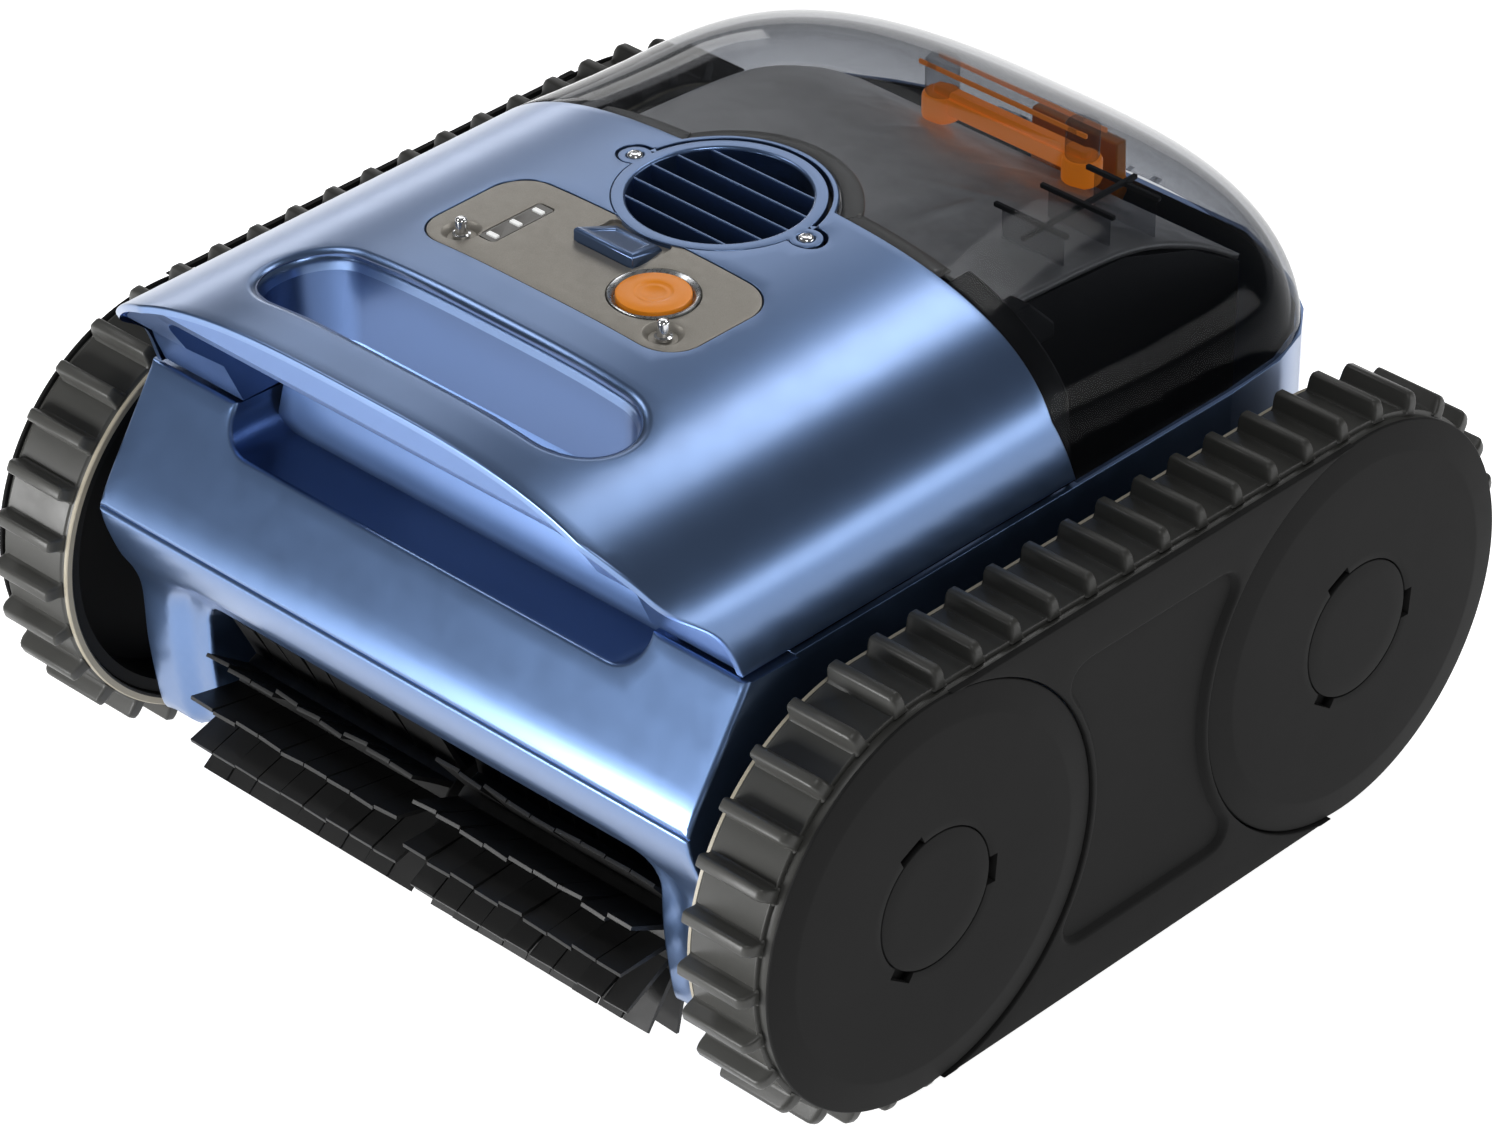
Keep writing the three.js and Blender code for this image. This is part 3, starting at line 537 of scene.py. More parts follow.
def within(points, loops):
    """True for each of the points that lies inside the first loop and outside the others."""
    keep = inside(points, loops[0])
    for loop in loops[1:]:
        keep &= ~inside(points, loop)
    return keep


def resample(loop, spacing):
    """The closed loop with points at even steps, keeping its corners."""
    result = []
    for a, b in zip(loop, loop[1:] + loop[:1]):
        steps = max(1, round(math.dist(a, b) / spacing))
        width, height = b[0] - a[0], b[1] - a[1]
        result += [(a[0] + width * i / steps, a[1] + height * i / steps) for i in range(steps)]
    return result


def outward(loop):
    """Unit direction out of the loop at each of its points."""
    area = sum(x0 * y1 - x1 * y0 for (x0, y0), (x1, y1) in zip(loop, loop[1:] + loop[:1]))
    turn = 1 if area > 0 else -1
    result = []
    for i, point in enumerate(loop):
        here = Vector(point)
        a = (here - Vector(loop[i - 1])).normalized()
        b = (Vector(loop[(i + 1) % len(loop)]) - here).normalized()
        along = (a + b).normalized()
        result.append(Vector((along.y, -along.x)) * turn)
    return result


def rounded(radius, depth, steps=6):
    """Border profile of (distance out, drop) pairs: a quarter round and then a wall down to the depth."""
    angles = [math.pi / 2 * k / steps for k in range(steps + 1)]
    return [(radius * math.sin(a), radius * (1 - math.cos(a))) for a in angles] + [(radius, depth)]


def triangulate(loops, spacing):
    """Points and triangles at about the spacing that fill the first loop and leave out the others."""
    border = np.array([p for loop in loops for p in loop])
    edges = []
    for loop in loops:
        start = len(edges)
        edges += [(start + i, start + (i + 1) % len(loop)) for i in range(len(loop))]
    low, high = border.min(axis=0), border.max(axis=0)
    columns = int((high[0] - low[0]) / spacing) + 1
    rows = int((high[1] - low[1]) / spacing) + 1
    grid = np.array([(low[0] + (i + 0.5 * (j % 2)) * spacing, low[1] + j * spacing)
                     for i in range(columns) for j in range(rows)])
    grid = grid[within(grid, loops)]
    tree = KDTree(len(border))
    for i, p in enumerate(border):
        tree.insert((*p, 0), i)
    tree.balance()
    grid = [p for p in grid if tree.find((*p, 0))[2] > spacing * 0.55]
    points = [Vector(p) for p in border] + [Vector(p) for p in grid]
    flat, _, triangles, _, _, _ = delaunay_2d_cdt(points, edges, [], 0, 1e-4)
    middles = np.array([sum((flat[i] for i in t), Vector((0, 0))) / 3 for t in triangles])
    keep = within(middles, loops)
    return flat, [tuple(t) for t, kept in zip(triangles, keep) if kept]


def skin(name, lift, borders, spacing, material, sharp=40):
    """A curved sheet with turned-in borders. Lift turns a point of its plane into (position, normal).
    Each border, the outer one first and then the holes, is (loop, profile, back, fill): a loop in the plane,
    its profile, a function that places the last ring or None, and whether a face closes the last ring."""
    made = []
    for number, (loop, profile, back, fill) in enumerate(borders):
        even = resample(loop, spacing * 0.6)
        sign = 1 if number == 0 else -1
        away = [d * sign for d in outward(even)]
        reach = profile[-1][0]
        drawn_in = [tuple(Vector(p) - d * reach) for p, d in zip(even, away)]
        made.append((drawn_in, away, profile, back, fill))
    flat, faces = triangulate([entry[0] for entry in made], spacing)
    vertices = [lift(p.x, p.y)[0] for p in flat]
    for loop, away, profile, back, fill in made:
        rings = [[] for _ in profile]
        for p, d in zip(loop, away):
            place, normal = lift(*p)
            tangent = (lift(*(Vector(p) + d * 0.2))[0] - place).normalized()
            for ring, (out, drop) in zip(rings, profile):
                ring.append(place + tangent * out - normal * drop)
            if back:
                rings[-1][-1] = back(rings[-1][-1])
        add_rings(vertices, faces, rings)
        if fill:
            faces.append(tuple(range(len(vertices) - len(loop), len(vertices))))
    return weld(add_object(name, vertices, faces, material, sharp), sharp)


def smooth_curve(points, steps):
    """A smooth curve through the points."""
    ends = [points[0], *points, points[-1]]
    result = []
    for around in zip(ends, ends[1:], ends[2:], ends[3:]):
        for i in range(steps):
            t = i / steps
            result.append(tuple(0.5 * (2 * q + (r - p) * t + (2 * p - 5 * q + 4 * r - s) * t * t
                                       + (3 * q - p - 3 * r + s) * t ** 3) for p, q, r, s in zip(*around)))
    return [*result, tuple(points[-1])]


def arc(cx, cy, radius, start, end, steps=12):
    """Points of an arc round a centre, between two angles in degrees."""
    angles = [math.radians(start + (end - start) * i / steps) for i in range(steps + 1)]
    return [(cx + radius * math.cos(a), cy + radius * math.sin(a)) for a in angles]


def circle(radius, segments):
    """Points of a circle round the origin."""
    angles = [math.tau * i / segments for i in range(segments)]
    return [(radius * math.cos(a), radius * math.sin(a)) for a in angles]


def rounded_rectangle(x0, x1, y0, y1, radius, steps=12):
    """Loop of a rectangle with round corners, anticlockwise."""
    left, right = x0 + radius, x1 - radius
    front, rear = y0 + radius, y1 - radius
    corners = [(right, front, -90), (right, rear, 0), (left, rear, 90), (left, front, 180)]
    return [p for x, y, start in corners for p in arc(x, y, radius, start, start + 90, steps)]


def around_box(low, high, gap, radius, steps=12):
    """Rounded rectangle in plan that stands off a box by the gap."""
    return rounded_rectangle(low.x - gap, high.x + gap, low.y - gap, high.y + gap, radius, steps)


def smoothstep(value, low, high):
    """Eases from 0 at low to 1 at high."""
    t = min(max((value - low) / (high - low), 0), 1)
    return t * t * (3 - 2 * t)


def bisect(low, high, is_short):
    """The value between low and high at which is_short stops holding."""
    for _ in range(44):
        middle = (low + high) / 2
        if is_short(middle):
            low = middle
        else:
            high = middle
    return low


def lathe_x(profile, y, z, segments):
    """Rings of a profile of (radius, x) pairs turned about a line parallel to X."""
    return [[(x, y + a, z + b) for a, b in circle(radius, segments)] for radius, x in profile]


def lathe_z(profile, x, y, segments):
    """Rings of a profile of (radius, z) pairs turned about an upright line."""
    return [[(x + a, y + b, z) for a, b in circle(radius, segments)] for radius, z in profile]


def from_rings(name, rings, material, sharp):
    """A welded piece of rings joined by quads."""
    vertices = [v for ring in rings for v in ring]
    return weld(add_object(name, vertices, strips(rings), material, sharp), sharp)


# ---- tracks ----

BELT_LOW, BELT_HIGH = box_mm("belt_right")
TIP_RADIUS = (BELT_HIGH.z - BELT_LOW.z) / 2
AXLE_Z = TIP_RADIUS
AXLE_Y = BELT_HIGH.y - TIP_RADIUS
CLEAT_HEIGHT = 7.3
BELT_RADIUS = TIP_RADIUS - CLEAT_HEIGHT
BELT_THICKNESS = 4.5
CLEATS = 50
STRAIGHT = 2 * AXLE_Y
BELT_LENGTH = 2 * STRAIGHT + 2 * math.pi * BELT_RADIUS


def on_belt(s, height):
    """Y and Z of a point at arc length s from the middle of the lower run and at a height over the belt."""
    arc_length = math.pi * BELT_RADIUS
    s = (s + STRAIGHT / 2) % BELT_LENGTH
    radius = BELT_RADIUS + height
    if s < STRAIGHT:
        return s - AXLE_Y, AXLE_Z - radius
    s -= STRAIGHT
    if s < arc_length:
        angle = s / BELT_RADIUS - math.pi / 2
        return AXLE_Y + radius * math.cos(angle), AXLE_Z + radius * math.sin(angle)
    s -= arc_length
    if s < STRAIGHT:
        return AXLE_Y - s, AXLE_Z + radius
    angle = (s - STRAIGHT) / BELT_RADIUS + math.pi / 2
    return -AXLE_Y + radius * math.cos(angle), AXLE_Z + radius * math.sin(angle)


PAD_EDGE = 3.6
CLEAT_FOOT, CLEAT_CREST = 3.9, 1.9
STATIONS = 8 * CLEATS
# Width and depth of the pale band that paints the highlight on each belt's inner edge.
HIGHLIGHT_WIDTH, HIGHLIGHT_DEPTH = 1.6, 3.6


def make_belt(side, sign):
    """The band with a raised pad edge on its outer side, and cleats that end round short of its edges.
    Profile points are (X, height over the belt's face)."""
    inner, outer = BELT_LOW.x, BELT_HIGH.x
    profile = [
        (inner + 0.7, -BELT_THICKNESS), (inner, -BELT_THICKNESS + 0.7), (inner, -1.4), (inner + 0.3, -1.0),
        (inner + 2.4, -1.0), (inner + 2.8, -0.7), (inner + 3.0, -0.2), (inner + 3.3, 0.0),
        (outer - PAD_EDGE - 1.0, 0.0), (outer - PAD_EDGE - 0.4, 0.5), (outer - PAD_EDGE, 0.5),
        (outer - PAD_EDGE + 0.3, 0.1), (outer - PAD_EDGE + 0.4, -1.6), (outer - 0.6, -2.0),
        (outer, -2.6), (outer, -BELT_THICKNESS + 0.7), (outer - 0.7, -BELT_THICKNESS),
    ]
    stations = [BELT_LENGTH * i / STATIONS for i in range(STATIONS)]

    def band(section):
        return [[(x * sign, *on_belt(s, h)) for s in stations] for x, h in [*section, section[0]]]

    vertices, faces = [], []
    add_rings(vertices, faces, band(profile))
    half = [(CLEAT_FOOT, -0.3), (CLEAT_FOOT - 0.7, 0.5), (CLEAT_FOOT - 1.1, 1.4), (CLEAT_CREST + 0.5, 6.0),
            (CLEAT_CREST, 7.0), (CLEAT_CREST - 0.6, CLEAT_HEIGHT), (0, CLEAT_HEIGHT)]
    section = half + [(-t, h) for t, h in reversed(half[:-1])]
    ends = [(0, 0.02), (0.2, 0.4), (0.7, 0.66), (1.6, 0.86), (2.7, 0.97), (3.8, 1.0)]
    start, stop = inner + 2.2, outer - 2.2
    stops = [(start + d * 0.35, f) for d, f in ends] + [(stop - d, f) for d, f in reversed(ends)]
    for i in range(CLEATS):
        middle = (i + 0.5) * BELT_LENGTH / CLEATS
        rows = []
        for x, full in stops:
            width = 0.72 + 0.28 * full
            drop = (1 - full) * 0.6
            rows.append([(x * sign, *on_belt(middle + t * width, h * full - drop)) for t, h in section])
        add_rings(vertices, faces, rows, caps=True)
    piece = weld(add_object(f"belt_{side}_fine", vertices, faces, MATERIALS["track_rubber"], 40), 40)
    settle(piece, f"belt_{side}")
    # A pale band along the belt's inner edge paints the highlight that the edge catches.
    highlight_band = [(inner - 0.05, -HIGHLIGHT_DEPTH), (inner - 0.05, -1.3), (inner + 0.3, -0.9),
            (inner + HIGHLIGHT_WIDTH, -0.9), (inner + HIGHLIGHT_WIDTH, -HIGHLIGHT_DEPTH)]
    edge = from_rings(f"belt_edge_highlight_{side}", band(highlight_band), MATERIALS["belt_edge_highlight"], 40)
    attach(edge, CHASSIS)


WHEEL_HIGH = box_mm("wheel_front_right")[1]
OUTER_X = WHEEL_HIGH.x
COVER_RADIUS = WHEEL_HIGH.z - AXLE_Z
HUB_RADIUS = box_mm("hub_cap_front_right")[1].z - AXLE_Z
AXLE_RADIUS = 8.4
DRUM_X = box_mm("wheel_front_right")[0].x
HUB_X = box_mm("hub_cap_front_right")[0].x
COVER_X = OUTER_X - 3.2
DRUM_RADIUS = TIP_RADIUS - CLEAT_HEIGHT - BELT_THICKNESS - 0.4
DRUM_INSIDE = DRUM_RADIUS - 5
WEB_X = DRUM_X + 22
BOSS_RADIUS = 16


def make_wheel(end, side, sign):
    """The drum under the belt with its dished round cover, whose hub seat has three notches."""
    node = f"wheel_{end}_{side}"
    y = centre_mm(node).y
    seat = HUB_RADIUS + 0.45
    profile = [
        (AXLE_RADIUS, DRUM_X), (BOSS_RADIUS, DRUM_X), (BOSS_RADIUS, WEB_X), (DRUM_INSIDE, WEB_X),
        (DRUM_INSIDE, DRUM_X + 0.5), (DRUM_RADIUS - 0.5, DRUM_X), (DRUM_RADIUS, DRUM_X + 0.5),
        (DRUM_RADIUS, COVER_X), (COVER_RADIUS - 0.5, COVER_X), (COVER_RADIUS, COVER_X + 0.4),
        (COVER_RADIUS, COVER_X + 1.0), (COVER_RADIUS - 0.35, COVER_X + 1.4),
        (COVER_RADIUS - 1, COVER_X + 1.6),
        (73.2, OUTER_X - 0.42), (72.2, OUTER_X - 0.2), (71, OUTER_X - 0.13), (52, OUTER_X - 0.03),
        (32, OUTER_X), (seat + 0.5, OUTER_X), (seat + 0.15, OUTER_X - 0.12), (seat, OUTER_X - 0.5),
        (seat, HUB_X - 0.4), (AXLE_RADIUS, HUB_X - 0.4),
    ]
    rings = lathe_x([(r, x * sign) for r, x in [*profile, profile[0]]], y, AXLE_Z, 180)
    piece = from_rings(f"{node}_fine", rings, MATERIALS["cover_black"], 25)
    for degrees in (25, 145, 265):
        turn = Matrix.Rotation(math.radians(degrees), 4, "X")
        corner = [
            Vector(((OUTER_X + a) * sign, *(turn @ Vector((0, b, c))).yz)) + Vector((0, y, AXLE_Z))
            for a in (-4, 2) for b in (-6, 6) for c in (HUB_RADIUS - 5, HUB_RADIUS + 4)
        ]
        carve(piece, add_object("cutter", corner, BOX_FACES, MATERIALS["cover_black"]))
    settle(piece, node)


def carve(piece, cutter):
    """Cuts the cutter out of the piece and removes the cutter."""
    cutting = piece.modifiers.new("cut", "BOOLEAN")
    cutting.operation = "DIFFERENCE"
    cutting.solver = "EXACT"
    cutting.object = cutter
    graph = bpy.context.evaluated_depsgraph_get()
    piece.data = bpy.data.meshes.new_from_object(piece.evaluated_get(graph))
    piece.modifiers.clear()
    piece.data.set_sharp_from_angle(angle=math.radians(25))
    bpy.data.objects.remove(cutter)


def make_hub_cap(end, side, sign):
    """The plain round cap in the middle of a wheel's cover."""
    node = f"hub_cap_{end}_{side}"
    edge = HUB_RADIUS
    profile = [
        (0.01, HUB_X), (edge - 3, HUB_X), (edge - 3, OUTER_X - 3), (edge, OUTER_X - 3),
        (edge, OUTER_X - 0.5), (edge - 0.2, OUTER_X - 0.1), (edge - 0.7, OUTER_X + 0.02),
        (edge - 8, OUTER_X + 0.1), (0.01, OUTER_X + 0.18),
    ]
    rings = lathe_x([(r, x * sign) for r, x in profile], centre_mm(node).y, AXLE_Z, 120)
    settle(from_rings(f"{node}_fine", rings, MATERIALS["cover_black"], 25), node)


PLATE_RECESS = 56
PLATE_MARGIN = 9


def make_side_plate(side, sign):
    """The outer sheet between the wheels with its sunk panel."""
    node = f"side_plate_{side}"
    rise = BELT_RADIUS - 0.4
    clearance = COVER_RADIUS + 0.7
    face_x = OUTER_X - 0.6

    def waist(radius, top, bottom):
        """Outline between two arcs of the given radius round the axles, cut off at top and bottom."""
        up = math.degrees(math.asin(min((top - AXLE_Z) / radius, 1)))
        down = math.degrees(math.asin(max((bottom - AXLE_Z) / radius, -1)))
        return (arc(AXLE_Y, AXLE_Z, radius, 180 - down, 180 - up, 40),
                arc(-AXLE_Y, AXLE_Z, radius, up, down, 40))

    rear_arc, front_arc = waist(clearance, AXLE_Z + rise - 0.01, AXLE_Z - rise + 0.01)
    outline = [*rear_arc, *front_arc]
    rear_inner, front_inner = waist(clearance + PLATE_MARGIN, AXLE_Z + PLATE_RECESS, AXLE_Z - PLATE_RECESS)
    recess = soften([*rear_inner, *front_inner], PLATE_MARGIN)
    sink = [(0, 0), (0.5, 0.05), (1.1, 0.3), (1.7, 0.9), (6.4, 6.4), (7.0, 6.85), (7.8, 7.0)]

    def lift(y, z):
        return Vector((face_x * sign, y, z)), Vector((sign, 0, 0))

    borders = [(outline, rounded(0.7, 2.6), None, True), (recess, sink, None, True)]
    piece = skin(f"{node}_fine", lift, borders, 7, MATERIALS["cover_black"], 28)
    settle(piece, node)


def soften(loop, radius):
    """The closed loop with its corners rounded off by repeated averaging over about the radius."""
    spacing = 1.2
    span = max(2, int(radius / spacing / 2))
    points = np.array(resample(loop, spacing))
    for _ in range(3):
        total = np.zeros_like(points)
        for shift in range(-span, span + 1):
            total += np.roll(points, shift, axis=0)
        points = total / (2 * span + 1)
    return [tuple(p) for p in points]


# ---- body section ----

SHELL_LOW, SHELL_HIGH = box_mm("upper_shell")
HALF_WIDTH = SHELL_HIGH.x
SHELL_TOP = 253.0
SHOULDER_Z = 170.0
SHOULDER_POWER = 3.0
FRONT_LIP = SHELL_LOW.y
SEAM_Y = 6.0
OUTLET_Y = centre_mm("outlet_duct").y
PARTING_Z = SHELL_LOW.z


def section_table(steps=600):
    """Arc length from the top centre, X and Z along the right half of the body section."""
    rows = [(0.0, 0.0, SHELL_TOP)]
    for i in range(1, steps + 1):
        angle = math.pi / 2 * (1 - (i / steps))
        x = HALF_WIDTH * math.cos(angle) ** (2 / SHOULDER_POWER)
        z = SHOULDER_Z + (SHELL_TOP - SHOULDER_Z) * math.sin(angle) ** (2 / SHOULDER_POWER)
        s, x0, z0 = rows[-1]
        rows.append((s + math.hypot(x - x0, z - z0), x, z))
    return np.array(rows)


SECTION = section_table()


def section_at(s):
    """Point and outward normal (X and Z) of the body section at a signed arc length from the top centre."""
    x = float(np.interp(abs(s), SECTION[:, 0], SECTION[:, 1]))
    z = float(np.interp(abs(s), SECTION[:, 0], SECTION[:, 2]))
    height = SHELL_TOP - SHOULDER_Z
    slope_x = (x / HALF_WIDTH) ** (SHOULDER_POWER - 1) / HALF_WIDTH
    slope_z = (max(z - SHOULDER_Z, 0) / height) ** (SHOULDER_POWER - 1) / height
    normal = Vector((math.copysign(slope_x, s), 0, slope_z)).normalized()
    return math.copysign(x, s), z, normal


def arc_of_x(x):
    """Signed arc length at which the body section reaches X."""
    return math.copysign(float(np.interp(abs(x), SECTION[:, 1], SECTION[:, 0])), x)


def arc_of_z(z):
    """Arc length at which the body section comes down to the height z."""
    return float(np.interp(-z, -SECTION[:, 2], SECTION[:, 0]))


def on_plan(loop):
    """A loop drawn in plan (X, Y), in the sheet's own (arc length, Y)."""
    return [(arc_of_x(x), y) for x, y in loop]


def lift_body(s, y):
    """Position and normal on the body's outer face."""
    x, z, normal = section_at(s)
    return Vector((x, y, z)), normal


# Outer edge of the shell as (Y, Z): up its front from the parting line, and down at its rear.
FRONT_PARTING = [(-159.5, PARTING_Z), (-168, 202), (-185.5, 217.5), (-193, 229), (FRONT_LIP, 240)]
REAR_PARTING = [(14, PARTING_Z), (6, 209)]
LINER_LOW, LINER_HIGH = box_mm("pocket_liner")
PANEL_LOW, PANEL_HIGH = box_mm("control_panel")
GRILLE_RADIUS = 40.0
EAR_X = centre_mm("grille_screw_right").x
EAR_RADIUS = 6.5
BULGE_RADIUS = 44.0
OPENING_RADIUS = 34.5
SCREW_SEAT = 3.4
LOUVRES = 5
LOUVRE_HALF = 0.75
LOUVRE_FOOT, LOUVRE_TOP = 238, 251.95


def grille_loop(margin):
    """Plan outline of the outlet insert's ring with an ear round each screw."""
    ring, ear = GRILLE_RADIUS + margin, EAR_RADIUS + margin
    along = (ring ** 2 - ear ** 2 + EAR_X ** 2) / (2 * EAR_X)
    across = math.sqrt(max(ring ** 2 - along ** 2, 0.01))
    ring_angle = math.degrees(math.atan2(across, along))
    ear_angle = math.degrees(math.atan2(across, along - EAR_X))
    return [
        *arc(EAR_X, OUTLET_Y, ear, -ear_angle, ear_angle, 16),
        *arc(0, OUTLET_Y, ring, ring_angle, 180 - ring_angle, 48),
        *arc(-EAR_X, OUTLET_Y, ear, 180 - ear_angle, 180 + ear_angle, 16),
        *arc(0, OUTLET_Y, ring, 180 + ring_angle, 360 - ring_angle, 48),
    ]


def groove(front_gap, rear_gap):
    """The insert's outline let out by a gap that is wider behind than in front, ears included."""
    loop = grille_loop(0)
    result = []
    for p, d in zip(loop, outward(loop)):
        share = smoothstep(p[1] - OUTLET_Y + 6 * (abs(p[0]) > GRILLE_RADIUS), -2, 6)
        result.append(tuple(Vector(p) + d * (front_gap + (rear_gap - front_gap) * share)))
    return result


def make_outlet_insert():
    """The ring with its screw ears follows the shell's surface, with upright louvres across the opening."""
    outline = on_plan(grille_loop(-0.05))
    opening = on_plan(arc(0, OUTLET_Y, OPENING_RADIUS, 0, 357, 119))
    seats = [on_plan(arc(x, OUTLET_Y, SCREW_SEAT, 0, 345, 23)) for x in (-EAR_X, EAR_X)]
    borders = [(outline, rounded(0.35, 3.0), None, False), (opening, rounded(1.3, 13.0, 8), None, False)]
    borders += [(seat, rounded(0.5, 2.6), None, True) for seat in seats]
    piece = skin("outlet_insert_ring", lift_body, borders, 3.2, MATERIALS["body_blue"])
    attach(piece, body_of(frame["nodes"]["outlet_grille"])[0])
    crest = [(LOUVRE_HALF, LOUVRE_TOP - 0.65), (LOUVRE_HALF - 0.2, LOUVRE_TOP - 0.2)]
    profile = [(-LOUVRE_HALF, LOUVRE_FOOT), (LOUVRE_HALF, LOUVRE_FOOT), *crest, (0, LOUVRE_TOP),
               *[(-t, z) for t, z in reversed(crest)]]
    vertices, faces = [], []
    for i in range(LOUVRES):
        off = (i - (LOUVRES - 1) / 2) * OPENING_RADIUS * 2 / (LOUVRES + 1)
        half = math.sqrt((OPENING_RADIUS + 0.6) ** 2 - off ** 2)
        rows = [[(x, OUTLET_Y + off + t, z) for t, z in profile] for x in (-half, half)]
        add_rings(vertices, faces, rows, caps=True)
    louvres = add_object("outlet_grille_fine", vertices, faces, MATERIALS["body_blue"], 40)
    settle(louvres, "outlet_grille")


def make_upper_shell():
    """The sheet over the body with openings for the hand pocket, the panel and the outlet."""
    front = [(arc_of_z(z), y) for y, z in reversed(smooth_curve(FRONT_PARTING, 6))]
    rear = [(arc_of_z(z), y) for y, z in REAR_PARTING]
    bulge_angle = math.degrees(math.asin((SEAM_Y - OUTLET_Y) / BULGE_RADIUS))
    bulge = on_plan(arc(0, OUTLET_Y, BULGE_RADIUS, bulge_angle, 90, 20))
    right = [*front, *rear, *bulge]
    outline = right + [(-s, y) for s, y in reversed(right[:-1])]
    borders = [
        (outline, rounded(0.9, 3.0), None, False),
        (on_plan(around_box(LINER_LOW, LINER_HIGH, -3.0, 21, 24)), rounded(4.6, 7.5, 10), None, False),
        (on_plan(around_box(PANEL_LOW, PANEL_HIGH, 0.4, 15.2)), rounded(0.35, 3.4), None, True),
        (on_plan(groove(0.1, 1.6)), rounded(0.35, 4.0), None, False),
    ]
    piece = skin("upper_shell_fine", lift_body, borders, 5, MATERIALS["body_blue"])
    settle(piece, "upper_shell")


# ---- panel fittings ----

PANEL_DROP = 0.25
PIN_SEAT = 5.4
HOOD_SEAT_END = -52.5
HOOD_TAPER = 3.2


def make_panel():
    """The plate lies a little below the shell's curved surface, with seats for its fittings."""

    def lift_panel(s, y):
        place, normal = lift_body(s, y)
        return place - normal * PANEL_DROP, normal

    ring = centre_mm("button_ring")
    window = box_mm("led_window")
    hood_low, hood_high = box_mm("dock_wedge")
    hood = (hood_low.x - 0.2, hood_high.x + 0.2, hood_low.y - 0.2, HOOD_SEAT_END)
    borders = [
        (around_box(PANEL_LOW, PANEL_HIGH, 0, 15), rounded(0.3, 2.2), False),
        (arc(ring.x, ring.y, radius_mm("button_ring") + 0.3, 0, 354, 59), rounded(0.4, 2), True),
        (around_box(*window, 0.5, 2), rounded(0.4, 1.4), True),
        (rounded_rectangle(*hood, 3), rounded(0.3, 1.6), True),
    ]
    cone = [(0, 0), (0.5, 0.1), (2.4, 2.2), (2.5, 2.4)]
    for node in ("charge_pin_right", "charge_pin_left"):
        pin = centre_mm(node)
        borders.append((arc(pin.x, pin.y, PIN_SEAT, 0, 351, 39), cone, True))
    seats = [(on_plan(loop), profile, None, fill) for loop, profile, fill in borders]
    piece = skin("control_panel_fine", lift_panel, seats, 3.5, MATERIALS["panel_grey"])
    settle(piece, "control_panel")


def make_wedge():
    """A hood that rises from the panel's rear edge to an open front lip, with a sunk field on top."""
    low, high = box_mm("dock_wedge")

    def rim(inset, z_front, z_rear):
        a, b = low.x + inset, high.x - inset
        c, d = low.y + inset, high.y - inset
        slope = (z_rear - z_front) / (high.y - low.y)
        corners = [(a, c), (b, c), (b - HOOD_TAPER, d), (a + HOOD_TAPER, d)]
        return [(x, y, z_front + slope * (y - low.y)) for x, y in corners]

    base, top = low.z, high.z
    rows = [rim(0, base, base), rim(0, top - 1.2, base + 1.6), rim(0.8, top - 0.2, base + 2.6),
            rim(1.4, top, base + 2.8), rim(3.6, top, base + 2.8), rim(4.2, top - 0.7, base + 2.1)]
    vertices, faces = [], []
    add_rings(vertices, faces, rows, caps=True)
    piece = add_object("dock_wedge_fine", vertices, faces, MATERIALS["body_blue"], 30)
    round_edges(piece, 0.35, 2)
    settle(piece, "dock_wedge")


def turned(name, profile, x, y, material, segments):
    """A piece turned about an upright axis from a profile of (radius, z) pairs."""
    return from_rings(name, lathe_z(profile, x, y, segments), material, 35)


def fitting(node, foot, head, material, segments, closed=False):
    """A turned fitting, its foot measured up from the bottom of the CAD's own and its head from the top."""
    low, high = box_mm(node)
    x, y = centre_mm(node).xy
    profile = [(r, low.z + z) for r, z in foot] + [(r, high.z + z) for r, z in head]
    if closed:
        profile.append(profile[0])
    settle(turned(f"{node}_fine", profile, x, y, MATERIALS[material], segments), node)


def make_button():
    """The button with a ring pressed into its dished top, in a bright metal ring."""
    radius = radius_mm("power_button")
    face = [(0.01, -5), (radius, -5), (radius, -0.9), (radius - 0.3, -0.4), (radius - 1, -0.2),
            (radius - 4, 0), (7.6, 0.05), (7.0, -0.1), (6.4, -0.35), (5.6, -0.4), (5.0, -0.32),
            (4.2, -0.5), (3.0, -0.75), (1.4, -0.9), (0.01, -0.95)]
    fitting("power_button", [], face, "accent_orange", 64)
    outer = radius_mm("button_ring")
    inner = outer - 2.6
    lip = [(outer, -0.9), (outer - 0.15, -0.5), (outer - 0.5, -0.3), (outer - 0.9, -0.45),
           (outer - 1.9, -1.2), (outer - 2.4, -1.5), (inner, -1.9)]
    fitting("button_ring", [(inner, 0), (outer, 0)], lip, "steel", 64, closed=True)


def make_pins():
    """The charging pins, stepped and round-headed, and the grille's screws."""
    pin_foot = [(0.01, 0), (3.4, 0), (3.4, 1.2), (2.5, 1.5), (2.3, 2)]
    pin_head = [(2.3, -1.0), (2.1, -0.5), (1.6, -0.15), (0.8, 0), (0.01, 0)]
    screw_head = [(2.5, -3.2), (3.1, -2.9), (3.1, -1.9), (2.8, -1.3), (2.1, -0.9), (1.7, -0.85),
                  (1.5, -1.4), (0.01, -1.5)]
    for side in ("right", "left"):
        fitting(f"charge_pin_{side}", pin_foot, pin_head, "chrome", 40)
        fitting(f"grille_screw_{side}", [(0.01, 0), (2.5, 0)], screw_head, "chrome", 40)


# ---- nose and brush apron ----

NOSE_HIGH = box_mm("nose_shell")[1]
APRON_HIGH = box_mm("brush_apron")[1]
BULKHEAD_Y = NOSE_HIGH.y

